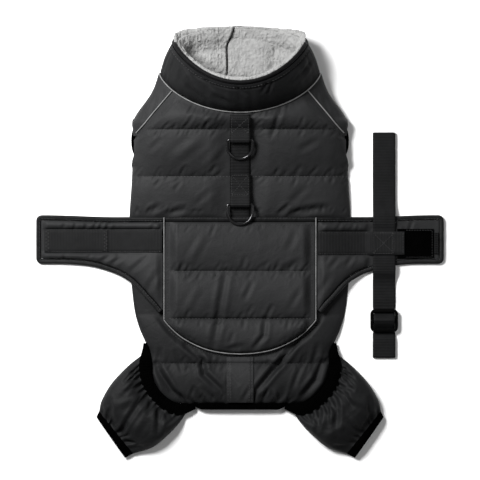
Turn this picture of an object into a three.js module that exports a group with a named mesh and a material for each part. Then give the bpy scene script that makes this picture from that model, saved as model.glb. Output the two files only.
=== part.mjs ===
// A quilted winter coat for a dog, laid flat with its back up: a padded body with a stand-up
// fleece-lined collar, a saddle-shaped girth panel with two wrap wings, two hind legs, and a
// webbing harness strap with two D-rings. Millimetres, +Z up, +Y towards the collar, and the
// coat rests on z = 0.

import * as THREE from "three";

// Driving dimensions

const SEAM_GAP = 0.3; // between two pieces that are sewn together
const SHELL_WALL = 4; // padded shell cloth with its backing
const SHOULDER_WALL = 3; // plain panels, thinner than the quilted ones
const BELLY_WALL = 3;
const BELLY_INSET = 12; // from the silhouette to the belly panel's edge
const COLLAR_WALL = 3;
const FLEECE_WALL = 5;
const WEBBING = 1.6;
const PIPING_RADIUS = 0.9;

// The body's silhouette and the height of its middle line, without the quilting's loft.
const BODY = [
  { y: 172, half: 84, crown: 34 },
  { y: 156, half: 92.5, crown: 38 },
  { y: 133, half: 107.5, crown: 37 },
  { y: 119, half: 112.5, crown: 33 },
  { y: 100, half: 112.8, crown: 27 },
  { y: 68, half: 113.5, crown: 17 },
  { y: 29, half: 116, crown: 9.5 },
  { y: 0, half: 116.5, crown: 9 },
  { y: -42, half: 114, crown: 9 },
  { y: -69, half: 109.5, crown: 9 },
  { y: -92, half: 103.5, crown: 9 },
  { y: -104, half: 99, crown: 9 },
  { y: -116, half: 94.9, crown: 9 },
  { y: -130, half: 94.9, crown: 9 },
  { y: -143, half: 93, crown: 9 },
  { y: -153, half: 88, crown: 8.5 },
  { y: -162, half: 79.5, crown: 7.5 },
  { y: -169, half: 67.5, crown: 6.5 },
];

// The slanting seam between the upper back and each shoulder panel.
const RAGLAN = { low: { x: 106.8, y: 111 }, high: { x: 69.5, y: 158 } };

// The collar's seam and its mouth: half width, the y of its sides, how far the back and the
// throat lie from there, how flat the back's bow is (2 is a circle's), and the height of the
// sides, the back and the throat.
const COLLAR_SEAM = { half: 83.5, y: 177, back: 42, throat: 15, bow: 1.35, side: 16, rise: 24, low: 0 };
const COLLAR_MOUTH = { half: 70, y: 207, back: 44.5, throat: 16.9, bow: 1.6, side: 34, rise: 38, low: 1 };
const LINING_END = { half: 68, y: 159, back: 21, throat: 3, bow: 1.35, middle: 18, rise: 14.5 };

const BACK_QUILTING = [26, 68.4, 117.4, 158];
const REAR_QUILTING = [-77, -127, -169];
const SADDLE_QUILTING = [20.9, -30.5, -80];
const BACK_LOFT = 6;
const REAR_LOFT = 6;
const SADDLE_LOFT = 6.5;

const ARMHOLE = { x: 96.5, y: 104, halfX: 14, halfY: 18, binding: 2.1, low: 2.2, high: 3.4 };

// The saddle panel: its top edge, and its lower edge from the middle out to the wing's end.
const SADDLE = { topMiddle: 26.3, topEnd: 28.3, reach: 214, side: 79.4, corner: 6 };
const SADDLE_LOWER_EDGE = [
  { x: 0, y: -118 },
  { x: 16, y: -117 },
  { x: 34, y: -113.5 },
  { x: 50, y: -107 },
  { x: 64, y: -98.5 },
  { x: 77, y: -86 },
  { x: 88, y: -71 },
  { x: 98, y: -60 },
  { x: 107, y: -50 },
  { x: 115, y: -42.5 },
  { x: 126, y: -35.5 },
  { x: 140, y: -30 },
  { x: 154, y: -26 },
  { x: 176, y: -23.5 },
  { x: 214, y: -23 },
];
const EDGE_BINDING = { width: 5.2, height: 4.2 };
const WING_WALL = 3.2;
const WING_LOFT = 3.8;
const SADDLE_WALL = 3.4;

const STRIP = { width: 24.6, leftY: 1.3, rightY: -1.2, innerEnd: 81.2, lap: 138 };
const STRIP_ENDS = { left: 205, right: 172.5 };
const HOOK_PATCH = { from: 164.8, to: 203, low: -17.4, high: 13.8 };
const PULL_TAB = { from: 203.6, to: 208, halfHeight: 11 };

// The girth strap, which crosses the right wing.
const STRAP = { x: 151.2, width: 24.6, top: 115.2, bottom: -121.8 };
const SLIDER = { y: -82.4, width: 30, length: 26.2, edge: 2.3, bar: 4, middle: 5.2, low: 1.9, high: 5.1 };

// The harness strap down the back, with its two D-rings.
const HARNESS = { width: 21, from: 27, to: 151.5, fold: 1.4 };
const D_RING = { wire: 1.6, half: 13.2, leg: 7.7, play: 0.35 };
const RINGS = [
  { name: "upper", y: 107.5, tail: 41 },
  { name: "lower", y: 40.4, tail: 32 },
];

const TAIL_STRIP = { half: 14, from: -120.4, to: -168, wall: 1.2 };
const HEM = { half: 43.5, from: -169.3, to: -175.6, height: 7, gathers: 14, reach: 50 };

// A hind leg, on the left: the middle of the elastic round its opening, and the leg's outlines.
const LEG_ELASTIC = [
  { x: -99.8, y: -106 },
  { x: -100.4, y: -118 },
  { x: -101, y: -133 },
  { x: -98.9, y: -146 },
  { x: -93, y: -156.4 },
  { x: -84, y: -166.6 },
  { x: -73, y: -174.2 },
  { x: -62, y: -177 },
  { x: -54, y: -175.6 },
];
const LEG_OUTLINE = [
  { outerX: -117.6, outerY: -130.2, innerX: -63, innerY: -189 },
  { outerX: -134.4, outerY: -148, innerX: -74.6, innerY: -201.6 },
  { outerX: -144.9, outerY: -165.9, innerX: -91.4, innerY: -215.2 },
  { outerX: -147.6, outerY: -177.2, innerX: -111.8, innerY: -221.8 },
];
const CUFF = { from: { x: -150.6, y: -183.4 }, to: { x: -120.4, y: -226.3 } };
const LEG = { height: 21, edge: 3.4, elasticHalf: 4.7, elasticHeight: 8.6, cuffHeight: 7.5, gathers: 13, cuffGathers: 7 };

// Materials

const cloth = (color, roughness) => new THREE.MeshStandardMaterial({ color, roughness, metalness: 0 });
const SHELL_CLOTH = cloth(0x2b2c2d, 0.55);
const FLEECE = cloth(0xb9b9b7, 0.95);
const ELASTIC = cloth(0x0c0c0d, 0.8);
const WEBBING_CLOTH = cloth(0x1b1b1c, 0.75);
const HOOK_CLOTH = cloth(0x060606, 0.95);
const PIPING_CLOTH = cloth(0x8b8c8c, 0.5);
const METAL = new THREE.MeshStandardMaterial({ color: 0x141414, roughness: 0.3, metalness: 0.9 });
const BUCKLE_PLASTIC = cloth(0x0a0a0a, 0.4);

// Numbers and points

const { lerp, smoothstep, clamp } = THREE.MathUtils;
const point = (x, y, z) => new THREE.Vector3(x, y, z);
const mix = (a, b, share) => a.clone().lerp(b, share);
const steps = (count) => Array.from({ length: count + 1 }, (_, i) => i / count);
const mirrored = (p) => point(-p.x, p.y, p.z);
const flatCircle = (value) => Math.sqrt(Math.max(0, 1 - value ** 4));

// A smooth function of one column of a table, giving another column.
function through(table, at, of) {
  const rows = [...table].sort((a, b) => a[at] - b[at]);
  const slopes = rows.map((_, i) => {
    const low = rows[Math.max(i - 1, 0)];
    const high = rows[Math.min(i + 1, rows.length - 1)];
    return (high[of] - low[of]) / (high[at] - low[at]);
  });
  return (value) => {
    const x = clamp(value, rows[0][at], rows[rows.length - 1][at]);
    const i = clamp(rows.findIndex((r) => r[at] > x) - 1, 0, rows.length - 2);
    const k = rows[rows.length - 1][at] === x ? rows.length - 2 : i;
    const span = rows[k + 1][at] - rows[k][at];
    const t = (x - rows[k][at]) / span;
    const near = (1 + 2 * t) * (1 - t) ** 2 * rows[k][of] + t * (1 - t) ** 2 * span * slopes[k];
    const far = t * t * (3 - 2 * t) * rows[k + 1][of] - t * t * (1 - t) * span * slopes[k + 1];
    return near + far;
  };
}

// A closed solid through rings of equal count. The first and second halves of a ring run along
// its two faces, so that each end is closed by joining them.
function skin(rings, closed = false) {
  const count = rings[0].length;
  const index = [];
  const quad = (a, b, c, d) => index.push(a, b, c, a, c, d);
  for (let r = 0; r < rings.length - (closed ? 0 : 1); r++) {
    const next = (r + 1) % rings.length;
    for (let i = 0; i < count; i++) {
      const j = (i + 1) % count;
      quad(r * count + i, r * count + j, next * count + j, next * count + i);
    }
  }
  if (!closed) {
    const last = (rings.length - 1) * count;
    for (let i = 0; i < count / 2 - 1; i++) {
      quad(count - 1 - i, count - 2 - i, i + 1, i);
      quad(last + i, last + i + 1, last + count - 2 - i, last + count - 1 - i);
    }
  }
  const points = rings.flat();
  const volume = index.reduce((sum, _, k) => {
    if (k % 3) return sum;
    const [a, b, c] = [points[index[k]], points[index[k + 1]], points[index[k + 2]]];
    return sum + a.dot(b.clone().cross(c));
  }, 0);
  if (volume < 0) index.reverse();
  const geometry = new THREE.BufferGeometry();
  geometry.setAttribute("position", new THREE.Float32BufferAttribute(points.flatMap((p) => [...p]), 3));
  geometry.setIndex(index);
  geometry.computeVertexNormals();
  return geometry;
}

const ringOf = (pairs) => [...pairs.map((p) => p[0]), ...pairs.map((p) => p[1]).reverse()];

// A wall of cloth: pairs(u, v) gives its outer and inner point.
const sheet = (us, vs, pairs) => skin(vs.map((v) => ringOf(us.map((u) => pairs(u, v)))));

// A wall that closes on itself in the direction of u.
const tube = (us, vs, pairs) => skin(us.map((u) => ringOf(vs.map((v) => pairs(u, v)))), true);

// The point at a distance from a surface, along its own normal.
function off(surface, u, v, distance, step = 1e-3) {
  const along = surface(u + step, v).sub(surface(u - step, v));
  const across = surface(u, v + step).sub(surface(u, v - step));
  return surface(u, v).addScaledVector(along.cross(across).normalize(), distance);
}

// A solid whose section, [sideways, up] pairs, keeps upright along a path.
function sweep(path, sections, closed = false) {
  const rings = path.map((p, i) => {
    const before = path[closed ? (i + path.length - 1) % path.length : Math.max(i - 1, 0)];
    const after = path[closed ? (i + 1) % path.length : Math.min(i + 1, path.length - 1)];
    const side = point(before.y - after.y, after.x - before.x, 0).normalize();
    return sections(i / path.length).map(([a, b]) => p.clone().addScaledVector(side, a).add(point(0, 0, b)));
  });
  return skin(rings, closed);
}

const round = (radius, sides = 8) =>
  steps(sides)
    .slice(1)
    .map((t) => [radius * Math.cos((t - 0.5 / sides) * 2 * Math.PI), radius * Math.sin((t - 0.5 / sides) * 2 * Math.PI)]);

// A round cord through points.
function cord(points, radius, segments) {
  const shape = new THREE.Shape(round(radius, 6).map(([x, y]) => new THREE.Vector2(x, y)));
  return new THREE.ExtrudeGeometry(shape, {
    steps: segments,
    bevelEnabled: false,
    extrudePath: new THREE.CatmullRomCurve3(points),
  });
}

// A ribbon of even width across X, whose middle follows [y, z] points.
function ribbon(middle, thickness, centreX, width) {
  const pairs = middle.map(([y, z], i) => {
    const [y0, z0] = middle[Math.max(i - 1, 0)];
    const [y1, z1] = middle[Math.min(i + 1, middle.length - 1)];
    const long = Math.hypot(y1 - y0, z1 - z0);
    const [ny, nz] = [((z0 - z1) / long) * (thickness / 2), ((y1 - y0) / long) * (thickness / 2)];
    return { outer: [y + ny, z + nz], inner: [y - ny, z - nz] };
  });
  const [left, right] = [centreX - width / 2, centreX + width / 2];
  return skin(
    pairs.map(({ outer, inner }) => [
      point(left, ...outer),
      point(right, ...outer),
      point(right, ...inner),
      point(left, ...inner),
    ]),
  );
}

// The body's surfaces

const bodyHalf = through(BODY, "y", "half");
const bodyCrown = through(BODY, "y", "crown");
const degrees = (angle) => (angle * Math.PI) / 180;

// A cross-section of the body: the angle runs from the left side to the right one.
function section(angle, y) {
  const sine = Math.sin(angle);
  return point(bodyHalf(y) * sine, y, bodyCrown(y) * Math.cos(angle) * Math.sqrt(1 + sine * sine));
}

const shellHeight = (x, y) => bodyCrown(y) * flatCircle(x / bodyHalf(y));

// How full a quilted channel is at y, from 0 on a seam to 1.
function channel(y, seams) {
  const high = [...seams].sort((a, b) => b - a);
  const k = high.findIndex((line, i) => i + 1 < high.length && y <= line && y >= high[i + 1]);
  if (k < 0) return 0;
  return Math.sin((Math.PI * (y - high[k + 1])) / (high[k] - high[k + 1])) ** 0.55;
}

const channelRows = (seams, shares = [0.12, 0.38, 0.62, 0.88]) =>
  seams.flatMap((line, i) => [
    line,
    ...(i + 1 < seams.length ? shares.map((share) => lerp(line, seams[i + 1], share)) : []),
  ]);

// A collar ring's y by the sine of its angle, with the bow of its back half.
const bowed = (c, s) => (s < 0 ? c.y - c.back * Math.abs(s) ** c.bow : c.y + c.throat * s);

// The collar's seam, by the angle from the right side: 90 at the throat and 270 at the back.
function seamRing(angle) {
  const c = COLLAR_SEAM;
  const s = Math.sin(angle);
  const z = s < 0 ? c.side - c.rise * s : c.side * Math.max(0, 1 - s) ** 1.5 + c.low * s;
  return point(c.half * Math.cos(angle), bowed(c, s), z);
}

function mouthRing(angle) {
  const c = COLLAR_MOUTH;
  const s = Math.sin(angle);
  const z = s < 0 ? c.side - c.rise * s : c.side * Math.max(0, 1 - s) ** 1.15 + c.low * s;
  return point(c.half * Math.cos(angle), bowed(c, s), z);
}

const raglanX = (y) =>
  lerp(RAGLAN.low.x, RAGLAN.high.x, (y - RAGLAN.low.y) / (RAGLAN.high.y - RAGLAN.low.y));
const seamAngle = Math.acos(RAGLAN.high.x / COLLAR_SEAM.half);

// How far the side of the body has come down from the armhole's edge to the table.
const lowered = (y) => smoothstep(Math.abs(y - ARMHOLE.y), ARMHOLE.halfY + 2.5, ARMHOLE.halfY + 9);
const sideAngle = (y) => lerp(Math.asin((bodyHalf(y) - 3) / bodyHalf(y)), Math.PI / 2, lowered(y));

// The side edge of the upper back, as a section angle: at the table, at the armhole or at the raglan.
const RAGLAN_GAP = 0.9;
function backEdge(y) {
  if (y < RAGLAN.low.y - 4) return sideAngle(y);
  return Math.min(sideAngle(y), Math.asin(clamp((raglanX(y) - RAGLAN_GAP / 2) / bodyHalf(y), -1, 1)));
}

// The shell turns from the body's sections to the collar's seam over these rows.
const TURN = { from: BACK_QUILTING[2], to: RAGLAN.high.y };
const turned = (y) => smoothstep(y, TURN.from, TURN.to);
const toSeam = (y, seamY) => (y < TURN.from ? y : lerp(TURN.from, seamY, (y - TURN.from) / (TURN.to - TURN.from)));

const pressed = (x) => lerp(0.2, 1, smoothstep(Math.abs(x), 14, 32));

// The upper back's outer surface, u from -1 to 1 across and y along its edge.
function back(u, y, loft = BACK_LOFT) {
  const angle = u * backEdge(y);
  const seam = seamRing(1.5 * Math.PI + u * (Math.PI / 2 - seamAngle) * 0.995);
  const p = section(angle, toSeam(y, seam.y)).lerp(seam, turned(y));
  p.y = toSeam(y, seam.y) - SEAM_GAP * turned(y);
  const atRaglan = lerp(1, smoothstep(1 - Math.abs(u), 0, 0.2), smoothstep(y, 95, 112));
  const atCollar = 1 - 0.6 * smoothstep(y, 138, 157);
  p.z += loft * channel(y, BACK_QUILTING) * pressed(p.x) * Math.max(0, Math.cos(angle)) ** 0.6 * atRaglan * atCollar;
  return p;
}

// The plain inner side of a body wall, which stays above the belly panel.
function inside(surface, u, v, wall) {
  const p = off((s, t) => surface(s, t, 0), u, v, -wall);
  const overBelly = Math.abs(p.x) < bodyHalf(p.y) - BELLY_INSET + 7;
  const floor = Math.min(BELLY_WALL + SEAM_GAP + 0.1, surface(u, v).z - 0.6);
  p.z = Math.max(p.z, overBelly ? floor : 0);
  return p;
}

// A shoulder panel's outer surface on the right: u from the raglan seam to the side, and v from
// the armhole up to the collar. Past the turn it runs down from the collar's side to the table.
const SHOULDER_TURN = 0.75;
function shoulder(u, v) {
  const y = lerp(RAGLAN.low.y, RAGLAN.high.y, v);
  const inner = Math.asin(clamp((raglanX(y) + RAGLAN_GAP / 2) / bodyHalf(y), -1, 1));
  const sideY = lerp(y, COLLAR_SEAM.y, v);
  const rowY = lerp(y, sideY, u);
  const angle = lerp(inner, sideAngle(rowY), u);
  const turn = Math.min(u / SHOULDER_TURN, 1);
  const seam = seamRing(1.5 * Math.PI + lerp((Math.PI / 2 - seamAngle) * 1.005, Math.PI / 2, turn));
  if (u > SHOULDER_TURN) seam.z *= (1 - u) / (1 - SHOULDER_TURN);
  const p = section(angle, rowY).lerp(seam, turned(y));
  const onSeam = lerp(RAGLAN.high.y, COLLAR_SEAM.y, u);
  p.y = rowY + (seam.y - onSeam - SEAM_GAP) * turned(y);
  p.x += SEAM_GAP * turned(y) * turn;
  return p;
}

// The rear body's outer surface. It is plain under the saddle and quilted beyond it.
const saddleLow = through(SADDLE_LOWER_EDGE, "x", "y");
function rear(u, y, loft = REAR_LOFT) {
  const angle = (u * Math.PI) / 2;
  const p = section(angle, y);
  const bare = smoothstep(saddleLow(Math.abs(p.x)) - y, 1.5, 11);
  const side = Math.max(0, Math.cos(angle)) ** 0.6;
  p.z += loft * channel(y, REAR_QUILTING) * bare * side;
  const gather = Math.cos(Math.PI * HEM.gathers * u) * smoothstep(-y, 142, 166);
  p.z += 0.18 * loft * gather * smoothstep(HEM.reach + 12 - Math.abs(p.x), 0, 14);
  return p;
}

// The saddle's underside: flat over the back, and down to the table outside the body.
const drape = (x) => 10 * (1 - smoothstep(Math.abs(x), 80, 136));
const saddleTop = (x) => lerp(SADDLE.topMiddle, SADDLE.topEnd, smoothstep(Math.abs(x), 130, 205));

// How far inside the saddle's slanting lower edge a line lies that keeps an even distance to it.
function lowerEdge(x, inset) {
  const slope = (saddleLow(x + 0.5) - saddleLow(x - 0.5));
  return saddleLow(x) + inset * Math.hypot(1, slope);
}

// Pieces of the body

const parts = {};

function addBody() {
  const backRows = [24, ...channelRows(BACK_QUILTING)];
  parts.back_panel = [
    sheet(steps(20).map((t) => 2 * t - 1), backRows, (u, y) => [back(u, y), inside(back, u, y, SHELL_WALL)]),
    SHELL_CLOTH,
  ];
  const shoulderPairs = (u, v) => [shoulder(u, v), inside(shoulder, u, v, SHOULDER_WALL)];
  const shoulderRows = [RAGLAN.low.y, ...channelRows(BACK_QUILTING).filter((y) => y > RAGLAN.low.y)]
    .map((y) => (y - RAGLAN.low.y) / (RAGLAN.high.y - RAGLAN.low.y))
    .sort((a, b) => a - b);
  const shoulderSteps = [steps(8), shoulderRows];
  parts.shoulder_right = [sheet(...shoulderSteps, shoulderPairs), SHELL_CLOTH];
  parts.shoulder_left = [sheet(...shoulderSteps, (u, v) => shoulderPairs(u, v).map(mirrored)), SHELL_CLOTH];

  const underSaddle = [23.7, 5, -15, -35, -50, -64];
  const rearRows = [...underSaddle, ...channelRows(REAR_QUILTING)];
  parts.rear_panel = [
    sheet(steps(HEM.gathers * 2).map((t) => 2 * t - 1), rearRows, (u, y) => [rear(u, y), inside(rear, u, y, SHELL_WALL)]),
    SHELL_CLOTH,
  ];
}

// The belly panel lies on the table inside the back's rim, with a bay at each armhole.
function addBelly() {
  const front = { y: 168, half: 80, reach: 20.5 };
  const margin = ARMHOLE.binding + 0.6;
  const half = (y) => {
    if (y > front.y) return front.half * Math.sqrt(Math.max(0, 1 - ((y - front.y) / front.reach) ** 2));
    const plain = Math.min(bodyHalf(y) - BELLY_INSET, lerp(front.half, 200, smoothstep(front.y - y, 0, 60)));
    const across = (y - ARMHOLE.y) / (ARMHOLE.halfY + margin);
    const bay = ARMHOLE.x - (ARMHOLE.halfX + margin) * Math.sqrt(Math.max(0, 1 - across * across));
    return Math.abs(across) > 1 ? plain : Math.min(plain, bay);
  };
  const bays = steps(8).map((t) => ARMHOLE.y - (ARMHOLE.halfY + margin) * 0.9999 * Math.cos(Math.PI * t));
  const rows = [-168.5, -160, -145, -128, -108, -80, -45, 0, 45, 72, ...bays, 140, 156, 168, 177, 184, 187.5];
  const pairs = (u, y) => [point(u * half(y), y, BELLY_WALL), point(u * half(y), y, 0)];
  parts.belly_panel = [sheet([-1, 0, 1], rows, pairs), SHELL_CLOTH];
}

function addArmholes() {
  const a = ARMHOLE;
  for (const [name, side] of [["left", -1], ["right", 1]]) {
    const path = steps(20).slice(1).map((t) => {
      const turn = 2 * Math.PI * t;
      const height = lerp(a.low, a.high, 0.5 + 0.5 * Math.cos(turn));
      return point(side * (a.x + a.halfX * Math.cos(turn)), a.y + a.halfY * Math.sin(turn), height);
    });
    parts["armhole_binding_" + name] = [sweep(path, () => round(a.binding, 6), true), ELASTIC];
  }
}

// Collar

const COLLAR_RIM = 1.02;
const RIM_RADIUS = 2;

function collar(angle, v) {
  const p = seamRing(angle).lerp(mouthRing(angle), v);
  const swell = 1.6 * Math.sin(Math.PI * v) * smoothstep(p.z, 3, 25);
  return p.add(point(Math.cos(angle), Math.sin(angle) * 0.5, 0).multiplyScalar(swell));
}

function lining(angle, v) {
  const c = LINING_END;
  const s = Math.sin(angle);
  const end = point(c.half * Math.cos(angle), bowed(c, s), c.middle - c.rise * s);
  return end.lerp(off(collar, angle, 1, -COLLAR_WALL - 2 * SEAM_GAP), v);
}

function addCollar() {
  const around = steps(40).slice(1).map((t) => 2 * Math.PI * t);
  const pairs = (angle, v) => [collar(angle, v), off(collar, angle, v, -COLLAR_WALL)];
  const shellEnd = (angle, v) => {
    const length = seamRing(angle).distanceTo(mouthRing(angle));
    return lerp(0.03, COLLAR_RIM - (RIM_RADIUS + SEAM_GAP) / length, v);
  };
  parts.collar_shell = [tube(around, steps(4), (angle, v) => pairs(angle, shellEnd(angle, v))), SHELL_CLOTH];
  const fleece = (angle, v) => [lining(angle, v), off(lining, angle, v, -FLEECE_WALL)];
  parts.collar_lining = [tube(around, [0, 0.3, 0.6, 0.85, 1.03], fleece), FLEECE];

  // The throat closes with the right half of the lining lapped over the left one.
  const flapAngles = steps(8).map((t) => degrees(lerp(62, 101, t)));
  const flap = (angle, v) => [-FLEECE_WALL - SEAM_GAP - 3, -FLEECE_WALL - SEAM_GAP].map((d) => off(lining, angle, v, d));
  parts.throat_lap = [sheet(flapAngles, [0.35, 0.6, 0.8, 0.98], flap), FLEECE];

  const rim = around.map((angle) => off(collar, angle, COLLAR_RIM, -RIM_RADIUS / 2));
  parts.collar_binding = [sweep(rim, () => round(RIM_RADIUS, 6), true), ELASTIC];
}

// Reflective piping

function addPiping() {
  const lift = PIPING_RADIUS + 0.5;
  const dorsal = steps(28).map((t) => {
    const angle = degrees(lerp(184, 356, t));
    return seamRing(angle).add(point(0.9 * Math.cos(angle), 0.6 * Math.sin(angle), lift + 0.7));
  });
  parts.collar_piping = [cord(dorsal, PIPING_RADIUS, 32), PIPING_CLOTH];
  const raglan = steps(8).map((t) => off(shoulder, 0.001, lerp(0.04, 0.8, t), lift));
  parts.raglan_piping_right = [cord(raglan, PIPING_RADIUS, 14), PIPING_CLOTH];
  parts.raglan_piping_left = [cord(raglan.map(mirrored), PIPING_RADIUS, 14), PIPING_CLOTH];

  const height = (x) => drape(x) + PIPING_RADIUS + 2.2;
  for (const [name, x] of [["left", -SADDLE.side], ["right", SADDLE.side]]) {
    const line = [25.5, -20, -50, -77].map((y) => point(x, y, height(x) + (y > 20 ? 2.6 : 0)));
    parts["saddle_piping_" + name] = [cord(line, PIPING_RADIUS, 8), PIPING_CLOTH];
  }
  const curve = steps(20).map((t) => {
    const x = lerp(-78, 78, t);
    return point(x, lowerEdge(Math.abs(x), 0.8), height(x));
  });
  parts.saddle_piping_curve = [cord(curve, PIPING_RADIUS, 30), PIPING_CLOTH];
}

// Saddle

const SADDLE_REACH = SADDLE.side - PIPING_RADIUS - SEAM_GAP;

// The saddle between its pipings: rows between quilting lines, and the last channel, which runs
// from the last line, past = 0, down to the curved edge, past = 1.
function saddleSurface(x, y, past = 0) {
  const seams = SADDLE_QUILTING;
  const last = seams[seams.length - 1];
  const low = lowerEdge(Math.abs(x), 2.2);
  const full = past ? Math.sin(Math.PI * past) ** 0.55 * smoothstep(last - low, 2, 16) : channel(y, seams);
  const side = smoothstep(SADDLE_REACH - Math.abs(x), 3, 13);
  return point(x, past ? lerp(last, low, past) : y, drape(x) + SADDLE_WALL + SADDLE_LOFT * full * side);
}

function addSaddle() {
  const bottom = SADDLE_QUILTING[SADDLE_QUILTING.length - 1];
  const rows = channelRows(SADDLE_QUILTING).map((y) => ({ y, past: 0 }));
  const pastRows = [0.12, 0.4, 0.7, 0.9, 1].map((past) => ({ y: bottom, past }));
  const columns = steps(18).map((t) => (SADDLE_REACH * Math.sin((t - 0.5) * 2.7)) / Math.sin(1.35));
  const pairs = (x, { y, past }) => {
    const top = saddleSurface(x, y, past);
    return [top, point(top.x, top.y, drape(x) + 0.1)];
  };
  parts.saddle_panel = [sheet(columns, [...rows, ...pastRows], pairs), SHELL_CLOTH];
}

const WING_COLUMNS = [80.9, 88, 95, 102, 109, 116, 124, 132, 140, 152, 164, 176, 190, 202, 208.5];

// A wing's height over its underside: full above and below the sewn-on webbing strip.
function wingLoft(x, share, isRight) {
  const end = smoothstep(208.5 - x, 0, 7) * smoothstep(x, 81, 88);
  const underStrap = isRight ? smoothstep(Math.abs(x - STRAP.x), 14, 22) : 1;
  const underPatch = isRight ? smoothstep(HOOK_PATCH.from - x, 0, 8) : 1;
  return WING_WALL + WING_LOFT * Math.sin(Math.PI * share) ** 0.6 * end * underStrap * underPatch;
}

function addWings() {
  for (const [name, side, stripY] of [["left", -1, STRIP.leftY], ["right", 1, STRIP.rightY]]) {
    const half = STRIP.width / 2;
    const highZone = [0, 0.3, 0.7, 1].map((share) => ({ zone: "high", share }));
    const lowZone = [0, 0.2, 0.5, 0.8, 1].map((share) => ({ zone: "low", share }));
    const pairs = (x, { zone, share }) => {
      const corner = SADDLE.corner * (1 - Math.sqrt(Math.max(0, 1 - clamp((x - 205) / 5, 0, 1) ** 2))) * 0.6;
      const top = saddleTop(x) - EDGE_BINDING.width - SEAM_GAP - corner;
      const low = lowerEdge(x, EDGE_BINDING.width + SEAM_GAP) + corner;
      const y = zone === "high" ? lerp(top, stripY + half, share) : lerp(stripY - half, Math.min(low, stripY - half - 1), share);
      const z = drape(x) + wingLoft(x, share, side > 0);
      return [point(side * x, y, z), point(side * x, y, drape(x))];
    };
    parts["wing_" + name] = [sheet(WING_COLUMNS, [...highZone, ...lowZone], pairs), SHELL_CLOTH];
  }
}

// The bound edge, from the lower edge at one side round both wings to the other side.
function addSaddleBinding() {
  const inset = EDGE_BINDING.width / 2;
  const reach = SADDLE.reach - inset;
  const corner = SADDLE.corner - inset;
  const lower = [83.5, 90, 97, 104, 111, 118, 126, 134, 144, 156, 176, 196].map((x) => [x, lowerEdge(x, inset)]);
  const arc = (centreY, from, to) =>
    steps(3).map((t) => {
      const turn = degrees(lerp(from, to, t));
      return [reach - corner + corner * Math.cos(turn), centreY + corner * Math.sin(turn)];
    });
  const end = [...arc(lowerEdge(205, inset) + corner, -90, 0), ...arc(saddleTop(205) - inset - corner, 0, 90)];
  const upper = [190, 170, 150, 138, 130, 122, 114, 106, 98, 90, 80, 55, 30].map((x) => [x, saddleTop(x) - inset]);
  const right = [...lower, ...end, ...upper].map(([x, y]) => point(x, y, drape(x)));
  const path = [...right, point(0, saddleTop(0) - inset, drape(0)), ...right.map(mirrored).reverse()];
  const w = EDGE_BINDING.width / 2;
  const h = EDGE_BINDING.height;
  const profile = [[-w, 0.1], [-w, h - 1.2], [-w + 1.3, h], [w - 1.3, h], [w, h - 1.2], [w, 0.1]];
  parts.saddle_binding = [sweep(path, () => profile), SHELL_CLOTH];
}

// The webbing strips sewn along the wings, and what is at the right wing's end.
function stripPiece(side, xs, stripY, level) {
  const half = STRIP.width / 2 - 0.2;
  return skin(
    xs.map((x) => {
      const low = drape(x) + WING_WALL + level(x);
      const corners = [[-half, WEBBING], [half, WEBBING], [half, 0], [-half, 0]];
      return corners.map(([a, b]) => point(side * x, stripY + a, low + b));
    }),
  );
}

function addStrips() {
  const columns = WING_COLUMNS.filter((x) => x > STRIP.innerEnd + 2);
  const near = columns.filter((x) => x < STRIP.lap - 3);
  parts.wing_strip_left_inner = [
    stripPiece(-1, [STRIP.innerEnd, ...near, STRIP.lap], STRIP.leftY, () => SEAM_GAP),
    WEBBING_CLOTH,
  ];
  const far = columns.filter((x) => x > STRIP.lap + 3 && x < STRIP_ENDS.left - 2);
  parts.wing_strip_left_outer = [
    stripPiece(-1, [STRIP.lap + SEAM_GAP, ...far, STRIP_ENDS.left], STRIP.leftY, () => SEAM_GAP),
    WEBBING_CLOTH,
  ];
  const over = (x) => SEAM_GAP + (WEBBING + SEAM_GAP + 0.1) * smoothstep(x, 131, 137.5);
  const rightColumns = [STRIP.innerEnd, ...near, 134, 138, 152, 164, STRIP_ENDS.right];
  parts.wing_strip_right = [stripPiece(1, rightColumns, STRIP.rightY, over), WEBBING_CLOTH];

  const plate = (name, from, to, low, high, base, thickness, material) => {
    const corners = [[low, base + thickness], [high, base + thickness], [high, base], [low, base]];
    parts[name] = [skin([from, to].map((x) => corners.map(([y, z]) => point(x, y, z)))), material];
  };
  const base = WING_WALL + SEAM_GAP;
  plate("hook_patch", HOOK_PATCH.from, HOOK_PATCH.to, HOOK_PATCH.low, HOOK_PATCH.high, base, WEBBING, HOOK_CLOTH);
  const tabY = STRIP.rightY;
  plate("pull_tab", PULL_TAB.from, PULL_TAB.to, tabY - PULL_TAB.halfHeight, tabY + PULL_TAB.halfHeight, base, WEBBING + 0.4, WEBBING_CLOTH);
}

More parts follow.
